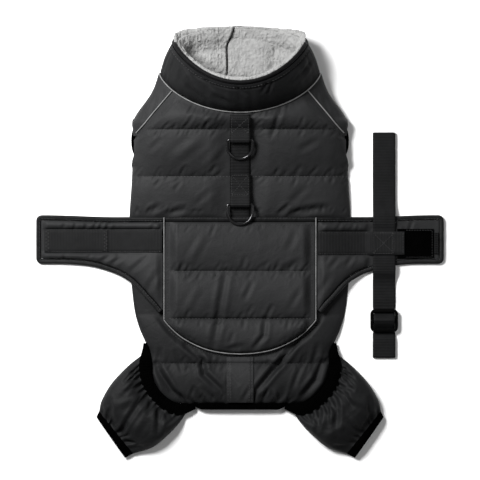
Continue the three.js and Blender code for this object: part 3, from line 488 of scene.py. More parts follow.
def faces_out(points, faces):
    """The faces with their normals out of the closed solid that they bound."""
    volume = 0.0
    for face in faces:
        face = np.atleast_2d(face)
        for k in range(1, face.shape[1] - 1):
            a, b, c = points[face[:, 0]], points[face[:, k]], points[face[:, k + 1]]
            volume += np.einsum("ij,ij->i", a, np.cross(b, c)).sum()
    return faces if volume > 0 else [np.atleast_2d(f)[:, ::-1] for f in faces]


def cloth_uv(grid):
    """Distances across and along a grid of points, in metres."""
    across = np.linalg.norm(np.diff(grid, axis=1), axis=2)
    u = np.concatenate([np.zeros((len(grid), 1)), np.cumsum(across, 1)], 1)
    u -= u[:, -1:] / 2
    along = np.linalg.norm(np.diff(grid, axis=0), axis=2).mean(1)
    v = np.concatenate([[0], np.cumsum(along)])
    return np.stack([u, np.broadcast_to(v[:, None], u.shape)], -1).reshape(-1, 2) * MM


def add_mesh(name, points, faces, material, uv=None):
    """A smooth mesh object from points in millimetres and blocks of faces."""
    faces = faces_out(points, faces)
    listed = [tuple(f) for block in faces for f in np.atleast_2d(block).tolist()]
    mesh = bpy.data.meshes.new(name)
    mesh.from_pydata((points * MM).tolist(), [], listed)
    mesh.polygons.foreach_set("use_smooth", [True] * len(mesh.polygons))
    if uv is not None:
        corners = np.zeros(len(mesh.loops), np.int64)
        mesh.loops.foreach_get("vertex_index", corners)
        mesh.uv_layers.new(name="cloth").data.foreach_set("uv", uv[corners].ravel())
    mesh.materials.append(material)
    mesh.set_sharp_from_angle(angle=math.radians(50))
    piece = bpy.data.objects.new(name, mesh)
    bpy.context.scene.collection.objects.link(piece)
    built[name] = (points, listed)
    return piece


def shell(name, outer, inner, material, wrap=False):
    """A closed wall between two grids of points, rows by columns. Wrap joins the last column to the first."""
    rows, columns = outer.shape[:2]
    top = np.arange(rows * columns).reshape(rows, columns)
    if wrap:
        top = np.hstack([top, top[:, :1]])
    under = top + rows * columns
    faces = [grid_quads(top), grid_quads(under)[:, ::-1]]
    rims = [top[0], top[-1, ::-1]] if wrap else [top[0], top[-1, ::-1], top[::-1, 0], top[:, -1]]
    for line in rims:
        below = line + rows * columns
        faces.append(np.stack([line[1:], line[:-1], below[:-1], below[1:]], -1))
    points = np.concatenate([outer.reshape(-1, 3), inner.reshape(-1, 3)])
    uv = np.tile(cloth_uv(outer), (2, 1))
    return add_mesh(name, points, faces, material, uv)


def tube(name, rings, material, closed=False):
    """A solid through rings of points, which closes on itself or has flat ends."""
    count, around = rings.shape[:2]
    index = np.arange(count * around).reshape(count, around)
    wrapped = np.hstack([index, index[:, :1]])
    faces = [grid_quads(np.vstack([wrapped, wrapped[:1]]) if closed else wrapped)]
    if not closed:
        faces += [index[0][::-1][None], index[-1][None]]
    return add_mesh(name, rings.reshape(-1, 3), faces, material, cloth_uv(rings))


def along(points, count):
    """Evenly spaced points on a smooth curve through points."""
    points = np.asarray(points, float)
    gone = gone_along(points)
    at = np.linspace(0, gone[-1], count)
    return np.stack([through(gone, points[:, i])(at) for i in range(points.shape[1])], -1)


def upright_sides(path, closed):
    ahead = np.roll(path, -1, 0) - np.roll(path, 1, 0)
    if not closed:
        ahead[0], ahead[-1] = path[1] - path[0], path[-1] - path[-2]
    return unit(np.stack([-ahead[:, 1], ahead[:, 0], np.zeros(len(path))], -1))


def swept(path, profile, closed=False):
    """Rings of a section, (sideways, up) pairs, kept upright along a path. It may differ for each point."""
    side = upright_sides(path, closed)
    profile = np.broadcast_to(profile, (len(path), *np.shape(profile)[-2:]))
    up = np.array([0, 0, 1.0])
    return path[:, None] + profile[..., :1] * side[:, None] + profile[..., 1:] * up


def circle(radius, sides=10):
    turn = 2 * np.pi * np.arange(sides) / sides
    return np.stack([radius * np.cos(turn), radius * np.sin(turn)], -1)


def cord_rings(path, radius, sides=10):
    """Rings square to a path in space."""
    ahead = unit(np.gradient(path, axis=0))
    side = unit(np.cross(ahead, (0, 0, 1.0)))
    up = np.cross(side, ahead)
    radius = np.broadcast_to(radius, len(path))[:, None, None]
    turn = circle(1, sides)
    return path[:, None] + radius * (turn[:, :1] * side[:, None] + turn[:, 1:] * up[:, None])


def ribbon(name, middle, thickness, centre_x, width, material, count, columns=9, drawn_in=None):
    """A strap across X whose middle follows (y, z) points. Drawn_in gives its share of the width at y."""
    line = along(middle, count)
    ahead = unit(np.gradient(line, axis=0))
    normal = np.stack([-ahead[:, 1], ahead[:, 0]], -1)
    across = np.linspace(-1, 1, columns)
    edge = 0.35 + 0.65 * blunt(across, 10)
    share = np.ones(count) if drawn_in is None else drawn_in(line[:, 0])
    sides = []
    for way in (1, -1):
        shift = way * edge * thickness / 2
        yz = line[:, None] + normal[:, None] * shift[None, :, None]
        x = centre_x + across * share[:, None] * width / 2
        sides.append(point(x, yz[..., 0], yz[..., 1]))
    return shell(name, *sides, material)


# Folds pressed into cloth, by where they show in the photograph

Fold = namedtuple("Fold", "wide deep route")


def seen_from_camera(points):
    """Where points show on the table, from the camera, in millimetres."""
    nearer = CAMERA_HEIGHT / (CAMERA_HEIGHT - points[..., 2])
    return np.stack([points[..., 0] * nearer, (points[..., 1] - CAMERA_Y) * nearer + CAMERA_Y], -1)


def traced(rows):
    """Folds from rows of width, depth and then the route's x and y in turn, in pixels of the photograph."""
    folds = []
    for wide, deep, *route in rows:
        x = (np.array(route[::2]) - PHOTO_CENTRE[0]) * MM_PER_PIXEL
        y = (PHOTO_CENTRE[1] - np.array(route[1::2])) * MM_PER_PIXEL
        folds.append(Fold(wide, deep, np.stack([x, y], -1)))
    return folds


def dented(grid, folds):
    """A grid of points with each fold pressed in along the surface's normals: a trough between low ridges."""
    spot = seen_from_camera(grid)
    depth = np.zeros(grid.shape[:2])
    for fold in folds:
        route = np.array(fold.route, float)
        reach = 4 * fold.wide
        near = np.all((spot > route.min(0) - reach) & (spot < route.max(0) + reach), -1)
        if not near.any():
            continue
        p = spot[near]
        start = gone_along(route)
        best, share = np.full(len(p), 1e9), np.zeros(len(p))
        for a, b, length, gone in zip(route, route[1:], np.diff(start), start):
            t = np.clip((p - a) @ (b - a) / length**2, 0, 1)
            distance = np.linalg.norm(p - a - t[:, None] * (b - a), axis=1)
            nearer = distance < best
            best[nearer] = distance[nearer]
            share[nearer] = (gone + t * length)[nearer] / start[-1]
        taper = 0.35 + 0.65 * np.sin(np.pi * np.clip(share, 0, 1)) ** 0.7
        trough = np.exp(-((best / fold.wide) ** 2))
        ridges = 0.42 * np.exp(-(((best - 2.0 * fold.wide) / (0.85 * fold.wide)) ** 2))
        depth[near] += fold.deep * taper * (trough - ridges)
    return grid - normals_of(grid) * depth[..., None]


def puckers(line, seed, spacing, length, deep, lean=0.5, ways=(1, -1)):
    """Short uneven folds that leave a seam, given as points of the surface, on both of its sides."""
    rng = np.random.default_rng(seed)
    spot = seen_from_camera(np.asarray(line, float))
    gone = gone_along(spot)
    folds = []
    for way in ways:
        at = rng.uniform(0, spacing)
        while at < gone[-1]:
            x = np.interp(at, gone, spot[:, 0])
            y = np.interp(at, gone, spot[:, 1])
            reach = length * rng.uniform(0.35, 1.15)
            slope = lean + rng.normal(0, 0.28)
            end = (x + way * slope * reach, y + way * reach)
            size = rng.uniform(0.25, 1.0)
            folds.append(Fold(0.75 + 0.9 * size, deep * size, [(x, y + way * 0.8), end]))
            at += spacing * rng.uniform(0.45, 1.7)
    return folds


# Materials

def node(tree, kind, inputs=None, **settings):
    made = tree.nodes.new("ShaderNode" + kind)
    for key, value in settings.items():
        setattr(made, key, value)
    for key, value in (inputs or {}).items():
        if isinstance(value, bpy.types.NodeSocket):
            tree.links.new(value, made.inputs[key])
        else:
            made.inputs[key].default_value = value
    return made


def new_material(name, roughness, levels):
    material = bpy.data.materials.new(name)
    material.use_nodes = True
    tree = material.node_tree
    shader = tree.nodes["Principled BSDF"]
    shader.inputs["Roughness"].default_value = roughness
    for socket, value in levels.items():
        shader.inputs[socket].default_value = value
    return material, tree, shader


def two_tones(tree, shader, dark, light, size, coordinates):
    """Base colour that drifts between two tones in patches of about a size, in metres."""
    inputs = {"Vector": coordinates, "Scale": 1 / size, "Detail": 3.0, "Roughness": 0.6}
    patches = node(tree, "TexNoise", inputs)
    ramp = node(tree, "ValToRGB", {"Fac": patches.outputs["Fac"]})
    for stop, place, tone in zip(ramp.color_ramp.elements, (0.35, 0.65), (dark, light)):
        stop.position = place
        stop.color = (*tone, 1)
    tree.links.new(ramp.outputs["Color"], shader.inputs["Base Color"])


# Width of the painted shade along a strap's edges, in millimetres.
EDGE_SHADE = 1.1


def painted_edge_shade(tree, shader, cloth, from_middle):
    """Painted shade: the tone darkened along both edges of a strap, where it steps down to the cloth under
    it.
    """
    across = node(tree, "SeparateXYZ", {"Vector": cloth}).outputs["X"]
    away = node(tree, "Math", {0: across}, operation="ABSOLUTE").outputs["Value"]
    inputs = {"Value": away, "From Min": from_middle, "From Max": from_middle + 0.0004}
    at_edge = node(tree, "MapRange", inputs)
    tone = shader.inputs["Base Color"].links[0].from_socket
    tones = {"Color1": tone, "Color2": (0.0006, 0.0006, 0.0006, 1)}
    mixed = node(tree, "MixRGB", {"Fac": at_edge.outputs["Result"], **tones})
    tree.links.new(mixed.outputs["Color"], shader.inputs["Base Color"])


def bumped(tree, height, distance, onto=None):
    inputs = {"Height": height, "Distance": distance, "Strength": 1.0}
    if onto is not None:
        inputs["Normal"] = onto
    return node(tree, "Bump", inputs).outputs["Normal"]


WAVE_PERIOD = 0.31416  # of the wave texture at a scale of 1


def waves(tree, coordinates, direction, period):
    inputs = {"Vector": coordinates, "Scale": WAVE_PERIOD / period, "Detail Scale": 2.0}
    return node(tree, "TexWave", inputs, bands_direction=direction).outputs["Fac"]


Weave = namedtuple("Weave", "across along height")
Crumple = namedtuple("Crumple", "size height")


def cloth_material(name, dark, light, roughness, weave, crumple, patch, specular, half=None):
    """Woven cloth: threads both ways on its own map, and crumples. Half is a strap's half width."""
    material, tree, shader = new_material(name, roughness, {"Specular IOR Level": specular})
    cloth = node(tree, "UVMap", uv_map="cloth").outputs["UV"]
    place = node(tree, "TexCoord").outputs["Object"]
    two_tones(tree, shader, dark, light, patch, place)
    if half is not None:
        painted_edge_shade(tree, shader, cloth, half - EDGE_SHADE * MM)
    warp = waves(tree, cloth, "X", weave.across)
    weft = waves(tree, cloth, "Y", weave.along)
    normal = bumped(tree, warp, weave.height * 0.3, onto=bumped(tree, weft, weave.height))
    inputs = {"Vector": place, "Scale": 1 / crumple.size, "Detail": 4.0, "Roughness": 0.55, "Distortion": 0.3}
    soft = node(tree, "TexNoise", inputs).outputs["Fac"]
    tree.links.new(bumped(tree, soft, crumple.height, onto=normal), shader.inputs["Normal"])
    return material


NYLON_WEAVE = Weave(0.0006, 0.0006, 0.00003)
WEBBING_WEAVE = Weave(0.0008, 0.0016, 0.0002)
SHELL = cloth_material(
    "shell nylon", (0.011, 0.0112, 0.0116), (0.0146, 0.0148, 0.0153), 0.62,
    NYLON_WEAVE, Crumple(0.011, 0.0008), patch=0.04, specular=0.11,
)
# Painted shade: a darker copy of the shell's nylon, for the shade on the rear, which slopes away from the
# light.
SHADED_REAR_NYLON = cloth_material(
    "rear nylon painted shade", (0.0068, 0.007, 0.0073), (0.0092, 0.0094, 0.0098), 0.62,
    NYLON_WEAVE, Crumple(0.011, 0.0008), patch=0.04, specular=0.1,
)
# Painted shade: a darker copy of the shell's nylon, for the shade on the hind legs.
SHADED_LEG_NYLON = cloth_material(
    "leg nylon painted shade", (0.0055, 0.0057, 0.006), (0.0075, 0.0077, 0.008), 0.62,
    NYLON_WEAVE, Crumple(0.009, 0.0008), patch=0.03, specular=0.09,
)
# Painted shade: a darker, less glossy copy of the shell's nylon, for the shade on the collar's front.
SHADED_COLLAR_NYLON = cloth_material(
    "collar nylon painted shade", (0.0058, 0.0059, 0.0062), (0.0078, 0.008, 0.0083), 0.62,
    NYLON_WEAVE, Crumple(0.014, 0.0007), patch=0.04, specular=0.05,
)
RIM_CLOTH = cloth_material(
    "collar rim", (0.0022, 0.0022, 0.0024), (0.0036, 0.0036, 0.0038), 0.6,
    Weave(0.0007, 0.0007, 0.00005), Crumple(0.005, 0.0003), patch=0.02, specular=0.06,
)
BINDING = cloth_material(
    "bound edge", (0.0035, 0.0036, 0.0038), (0.0052, 0.0053, 0.0056), 0.6,
    Weave(0.0007, 0.0007, 0.00005), Crumple(0.006, 0.0003), patch=0.02, specular=0.1,
)
ELASTIC = cloth_material(
    "elastic", (0.0001, 0.0001, 0.0001), (0.0003, 0.0003, 0.0003), 0.9,
    Weave(0.0009, 0.0016, 0.0002), Crumple(0.004, 0.0002), patch=0.012, specular=0.01,
)
WEB = cloth_material(
    "nylon webbing", (0.0045, 0.0046, 0.0048), (0.0062, 0.0063, 0.0066), 0.65,
    WEBBING_WEAVE, Crumple(0.003, 0.0001), patch=0.01, specular=0.1,
)
GIRTH_WEB = cloth_material(
    "girth webbing", (0.0036, 0.0037, 0.0039), (0.0052, 0.0053, 0.0056), 0.62,
    WEBBING_WEAVE, Crumple(0.003, 0.0001), patch=0.01, specular=0.09, half=GIRTH.width / 2 * MM,
)
HARNESS_WEB = cloth_material(
    "harness webbing", (0.0046, 0.0047, 0.0049), (0.0062, 0.0063, 0.0066), 0.62,
    WEBBING_WEAVE, Crumple(0.003, 0.0001), patch=0.01, specular=0.09, half=HARNESS_WIDTH / 2 * MM,
)
PIPING = cloth_material(
    "reflective piping", (0.1, 0.1, 0.1), (0.15, 0.15, 0.15), 0.42,
    Weave(0.0011, 0.0009, 0.00012), Crumple(0.004, 0.0002), patch=0.008, specular=0.4,
)
THREAD = cloth_material(
    "sewing thread", (0.016, 0.016, 0.0165), (0.028, 0.028, 0.029), 0.5,
    Weave(0.0004, 0.0004, 0.00008), Crumple(0.001, 0.0001), patch=0.003, specular=0.3,
)


def fleece_material():
    levels = {"Sheen Weight": 0.08, "Specular IOR Level": 0.2}
    material, tree, shader = new_material("sherpa fleece", 0.95, levels)
    place = node(tree, "TexCoord").outputs["Object"]
    two_tones(tree, shader, (0.19, 0.19, 0.188), (0.238, 0.238, 0.235), 0.006, place)
    curls = node(tree, "TexNoise", {"Vector": place, "Scale": 700.0, "Detail": 5.0, "Roughness": 0.7})
    normal = bumped(tree, curls.outputs["Fac"], 0.0007)
    clumps = node(tree, "TexVoronoi", {"Vector": place, "Scale": 330.0}, feature="SMOOTH_F1")
    normal = bumped(tree, clumps.outputs["Distance"], 0.0007, onto=normal)
    tree.links.new(normal, shader.inputs["Normal"])
    return material


def hook_material():
    material, tree, shader = new_material("hook tape", 0.95, {"Specular IOR Level": 0.01})
    cloth = node(tree, "UVMap", uv_map="cloth").outputs["UV"]
    place = node(tree, "TexCoord").outputs["Object"]
    two_tones(tree, shader, (0.0002, 0.0002, 0.0002), (0.0005, 0.0005, 0.0005), 0.01, place)
    hooks = node(tree, "TexVoronoi", {"Vector": cloth, "Scale": 900.0}, voronoi_dimensions="2D")
    tree.links.new(bumped(tree, hooks.outputs["Distance"], 0.0006), shader.inputs["Normal"])
    return material


def hard_material(name, dark, light, roughness, metallic, specular, grain_height):
    levels = {"Metallic": metallic, "Specular IOR Level": specular}
    material, tree, shader = new_material(name, roughness, levels)
    place = node(tree, "TexCoord").outputs["Object"]
    two_tones(tree, shader, dark, light, 0.006, place)
    fine = node(tree, "TexNoise", {"Vector": place, "Scale": 2200.0, "Detail": 2.0}).outputs["Fac"]
    tree.links.new(bumped(tree, fine, grain_height), shader.inputs["Normal"])
    return material


FLEECE = fleece_material()
HOOK = hook_material()
RING = hard_material(
    "black plated ring", (0.012, 0.012, 0.0125), (0.02, 0.02, 0.021), 0.2,
    metallic=0.6, specular=0.5, grain_height=0.000004,
)
PLASTIC = hard_material(
    "buckle plastic", (0.0003, 0.0003, 0.0003), (0.0006, 0.0006, 0.0006), 0.55,
    metallic=0.0, specular=0.03, grain_height=0.00003,
)


# Who stands for what

def dress(piece, slot, *nodes, body="coat"):
    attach(piece, body)
    if nodes:
        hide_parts(*nodes)
    return piece


def lay(piece, slot, nodes):
    """A plain piece of cloth or webbing, attached to the coat in place of the parts that it stands for."""
    dress(piece, slot, *nodes)
    return piece


def pad(piece, slot, nodes):
    dress(piece, slot, *nodes)
    return piece


# Body

BACK_FOLDS = [
    (1.7, 0.9, 186, 127.5, 192, 117),
    (1.9, 0.8, 204, 127, 212, 119),
    (2.4, 1.5, 271, 137, 281, 109),
    (1.6, 0.8, 301, 124.5, 304, 117),
    (4.5, -1.1, 175, 158, 200, 138),
    (1.6, 0.9, 181, 175, 186, 166),
    (1.8, 0.8, 210, 173, 216, 166),
    (1.6, 0.8, 275, 175, 279, 167),
    (2.0, 0.9, 294, 175, 301, 166),
    (1.8, 0.8, 175, 190, 181, 180),
    (1.6, 0.7, 155, 186, 160, 180),
    (1.6, 0.7, 293, 186, 297, 178),
    (2.6, 1.6, 150, 213, 158, 206),
    (3.0, 1.8, 166, 215, 184, 209),
    (2.2, 1.4, 279, 215, 288, 206),
    (3.4, 1.9, 288, 215, 308, 210, 327, 208),
    (3.0, 0.9, 300, 150, 318, 140),
    (2.6, 0.7, 150, 150, 160, 140),
    (3.2, -0.7, 205, 165, 222, 146),
    (3.0, 0.8, 290, 203, 306, 188),
    (2.8, 0.7, 196, 204, 212, 190),
]
TAIL_FOLDS = [
    (1.8, 0.7, 228, 372, 238, 384),
    (2.0, 0.9, 250, 388, 243, 400),
    (1.8, 0.6, 236, 398, 232, 388),
]
REAR_FOLDS = [
    (2.8, 3.8, 186, 345, 202, 360, 204, 374, 220, 389.5, 224, 400),
    (2.0, 1.6, 203, 389, 212, 398),
    (3.6, 4.6, 156, 367, 162, 378, 171, 392, 182, 401),
    (2.2, 2.0, 148, 358, 151, 374, 158, 388),
    (2.8, 4.2, 297, 340, 280.5, 362, 271, 372.6, 255, 392.6, 253, 400),
    (3.0, 3.4, 322, 362, 316, 380, 303, 396),
    (1.9, 1.1, 267, 389.5, 260.5, 398),
    (2.0, 1.0, 233, 366, 228, 384),
    (2.2, 1.2, 306, 356, 297, 376, 290, 396),
    (2.0, 1.0, 175, 352, 182, 372),
    (2.6, 1.2, 318, 345, 312, 372),
    (2.4, 1.2, 160, 350, 158, 366),
]
SADDLE_FOLDS = [
    (1.6, 0.8, 211, 235, 214.5, 225),
    (1.7, 0.9, 180, 270, 184, 263),
    (2.0, 1.2, 242, 270, 245, 257),
    (1.8, 0.9, 263, 269, 268, 262),
    (1.8, 0.9, 275, 269, 279, 261),
    (3.2, 1.3, 284, 270, 299, 262),
    (2.0, 1.0, 186, 280, 195, 272),
    (3.2, 2.2, 213, 346, 218, 322, 220, 306, 226, 273),
    (2.3, 1.1, 245, 299, 252, 283),
    (1.8, 1.4, 265.5, 319, 272, 306),
    (2.5, 2.3, 255, 347.5, 264, 336, 265.5, 319),
    (1.7, 0.9, 247, 316, 252, 306),
    (1.6, 0.8, 178, 326, 182, 319),
    (1.7, 0.9, 243, 328, 245, 319),
    (1.9, 0.9, 230, 343, 233, 333),
    (1.7, 0.8, 287, 329, 289, 319),
    (2.4, 1.0, 228, 349, 242, 346),
    (3.4, -0.8, 190, 260, 204, 236),
    (3.2, 0.8, 288, 250, 296, 232),
    (3.4, -0.7, 186, 310, 198, 288),
    (2.8, 0.8, 290, 308, 300, 290),
]


def on_grid(surface, us, vs):
    u, v = np.meshgrid(us, vs)
    return surface(u, v), u, v


def make_back():
    rows = np.linspace(TURN_TO, 24, 106)
    outer, u, y = on_grid(back_cloth, np.linspace(-1, 1, 173), rows)
    inner = plain_inside(back_cloth, u, y, SHELL_WALL)
    line = np.linspace(-0.97, 0.97, 120)
    folds = traced(BACK_FOLDS)
    folds += puckers(back_cloth(line, BACK_QUILTING[2]), 11, 8.5, 8, 1.0)
    folds += puckers(back(line, BACK_QUILTING[1]), 12, 9, 9, 0.9)
    folds += puckers(back_cloth(line, TURN_TO - 3), 13, 8, 8, 0.9, ways=(-1,))
    folds += puckers(back(line, BACK_QUILTING[0] + 4), 14, 9, 9, 1.1, ways=(1,))
    outer = dented(outer, folds)
    keep_over(outer, inner, 0.4)
    pad(shell("quilted_back", outer, inner, SHELL), "shell", ["back_panel"])


def make_shoulders():
    us, vs = np.linspace(0, 1, 40), np.linspace(0, 1, 60)
    outer, u, v = on_grid(shoulder_cloth, us, vs)
    inner = plain_inside(shoulder_cloth, u, v, SHOULDER_WALL)
    swell = np.sin(np.pi * np.clip(v * 0.92 + 0.02, 0, 1)) * smoothstep(u, 0.05, 0.6)
    outer[..., 0] += SHOULDER_SWELL * swell * smoothstep(outer[..., 2], 0, 4)
    crease = [
        Fold(2.4, 0.9, [(88, 150), (97, 126)]),
        Fold(1.8, 0.7, [(80, 158), (84, 140)]),
        Fold(2.0, 0.6, [(98, 142), (101, 122)]),
    ]
    for name, flip in (("left", True), ("right", False)):
        folds = [Fold(f.wide * (0.85 if flip else 1), f.deep, f.route) for f in crease]
        top = dented(outer, folds)
        keep_over(top, inner, 0.3)
        sides = [mirrored(top), mirrored(inner)] if flip else [top, inner]
        piece = shell("shoulder_cloth_" + name, *sides, SHELL)
        lay(piece, "shell", ["shoulder_" + name])


def make_rear():
    rows = np.linspace(23.7, REAR_QUILTING[-1], 130)
    outer, u, y = on_grid(rear, np.linspace(-1, 1, 169), rows)
    inner = plain_inside(rear, u, y, SHELL_WALL)
    line = np.linspace(-0.95, 0.95, 120)
    folds = traced(REAR_FOLDS)
    folds += puckers(rear(line, REAR_QUILTING[1]), 21, 9, 8, 0.9)
    folds += puckers(rear(line * 0.7, REAR_QUILTING[2] + 3), 22, 7, 12, 1.4, lean=0.1, ways=(1,))
    curve = point(line * 76, lower_edge(np.abs(line) * 76, -3), 12)
    folds += puckers(curve, 23, 10, 7, 0.9, lean=0.0, ways=(-1,))
    outer = dented(outer, folds)
    keep_over(outer, inner, 0.4)
    pad(shell("quilted_rear", outer, inner, SHADED_REAR_NYLON), "shell", ["rear_panel"])


def make_belly():
    front_y, front_half, reach = 168, 80, 20.5
    margin = ARMHOLE.binding + 0.6

    def half(y):
        rounded = front_half * np.sqrt(np.maximum(0, 1 - ((y - front_y) / reach) ** 2))
        plain = np.minimum(body_half(y) - BELLY_INSET, lerp(front_half, 200, smoothstep(front_y - y, 0, 60)))
        across = (y - ARMHOLE.y) / (ARMHOLE.half_y + margin)
        bay = ARMHOLE.x - (ARMHOLE.half_x + margin) * np.sqrt(np.maximum(0, 1 - across * across))
        inside_it = np.where(np.abs(across) > 1, plain, np.minimum(plain, bay))
        return np.where(y > front_y, rounded, inside_it)

    y, u = np.meshgrid(np.linspace(-168.5, 187.5, 240), np.linspace(-1, 1, 41), indexing="ij")
    x = u * half(y)
    top = BELLY_WALL - 0.5 * (np.abs(u) > 0.99)
    outer = point(x, y, top)
    piece = shell("belly_cloth", outer, point(x, y, 0), SHELL)
    lay(piece, "shell", ["belly_panel"])


def make_armholes():
    turn = once_round(320)
    a = ARMHOLE
    height = lerp(a.low, a.high, 0.5 + 0.5 * np.cos(turn))
    outward = np.maximum(np.cos(turn), 0) ** 0.4
    x = a.x + np.where(outward > 0, (a.half_x + 1.6) * outward, a.half_x * np.cos(turn))
    path = point(x, a.y + 2 + (a.half_y - 1) * np.sin(turn), height)
    gather = 1 + 0.05 * np.sin(46 * turn)[:, None, None]
    for name, side in (("left", -1), ("right", 1)):
        rings = swept(path * (side, 1, 1), circle(a.binding, 12) * gather, closed=True)
        piece = tube("armhole_edge_" + name, rings, ELASTIC, closed=True)
        lay(piece, "elastic", ["armhole_binding_" + name])


# Collar

COLLAR_FOLDS = [
    (1.8, 1.3, 186, 68, 192, 78),
    (2.2, 1.4, 188, 86, 200, 98),
    (1.6, 1.2, 206, 80, 214, 90),
    (2.6, 1.3, 214, 96, 230, 104),
    (1.5, 1.2, 236, 87, 246, 95),
    (1.7, 1.3, 262, 92, 266, 84),
    (1.5, 1.1, 268, 93, 272, 82),
    (2.4, 1.2, 292, 84, 304, 70),
    (1.9, 1.2, 303, 74, 310, 62),
]
COLLAR_RIM = 1.02
RIM_RADIUS = 2.1
TOPSTITCH = 0.85


def make_collar():
    angles = once_round(320)
    shares = np.linspace(0, 1, 46)
    angle, v = np.meshgrid(angles, shares)
    length = np.linalg.norm(seam_ring(angle) - mouth_ring(angle), axis=-1)
    end = lerp(0.03, COLLAR_RIM - (RIM_RADIUS + SEAM_GAP) / length, v)
    band = smoothstep(end, TOPSTITCH - 0.01, TOPSTITCH + 0.05)
    groove = np.exp(-(((end - TOPSTITCH) / 0.026) ** 2))
    drawn = 0.5 * grain(point(np.cos(angle) * 14, np.sin(angle) * 14, end * 1.5), 1.0, 31)
    upright = smoothstep(-np.sin(angle), -0.1, 0.35)
    lift = (0.9 * band - 1.2 * groove + drawn * (1 - band)) * upright
    lift += COLLAR_FULLER * np.sin(np.pi * end**0.85) * smoothstep(-np.sin(angle), 0.2, 0.9)
    outer = dented(off(collar, angle, end, lift), traced(COLLAR_FOLDS))
    inner = off(collar, angle, end, -COLLAR_WALL)
    lowest = np.minimum(outer[..., 2], inner[..., 2]).min()
    outer[..., 2] = np.maximum(outer[..., 2], max(lowest, 0.02))
    piece = shell("collar_cloth", outer, inner, SHADED_COLLAR_NYLON, wrap=True)
    lay(piece, "shell", ["collar_shell"])

    turn = once_round(420)
    rim = off(collar, turn, np.full_like(turn, COLLAR_RIM), -RIM_RADIUS / 2)
    gather = 1 + (0.05 * np.sin(150 * turn) + 0.05 * grain(point(turn * 30, 0, 0), 1.0, 32))[:, None, None]
    rings = swept(rim, circle(RIM_RADIUS, 12) * gather, closed=True)
    edge = tube("collar_edge", rings, RIM_CLOTH, closed=True)
    lay(edge, "elastic", ["collar_binding"])


def fluffed(points, normals, amount):
    """Curly fleece: clumps of loops that stand off by uneven amounts."""
    big = 0.7 * grain(points, 9.0, 41)
    clump = 0.6 * (1 - np.abs(grain(points, 3.6, 42)) * 2)
    curl = 0.38 * (1 - np.abs(grain(points, 1.7, 43)) * 2)
    return points + normals * ((big + clump + curl) * amount)[..., None]


THROAT_HALF = 68.6
THROAT_Y = 208
THROAT_BULGE = 16.8
LAP_FROM = math.radians(58)


def throat_edge(angle):
    """Where the fleece's edge rolls out over the bound rim at the throat."""
    s = np.maximum(np.sin(angle), 1e-6)
    return np.stack([THROAT_HALF * np.cos(angle), THROAT_Y + THROAT_BULGE * s**0.4], -1)


def lap_edge(v):
    """The angle of the lap's free edge, which leans to the right as it reaches the rim."""
    return np.radians(101 - 6.5 * smoothstep(v, 0.7, 1.0))


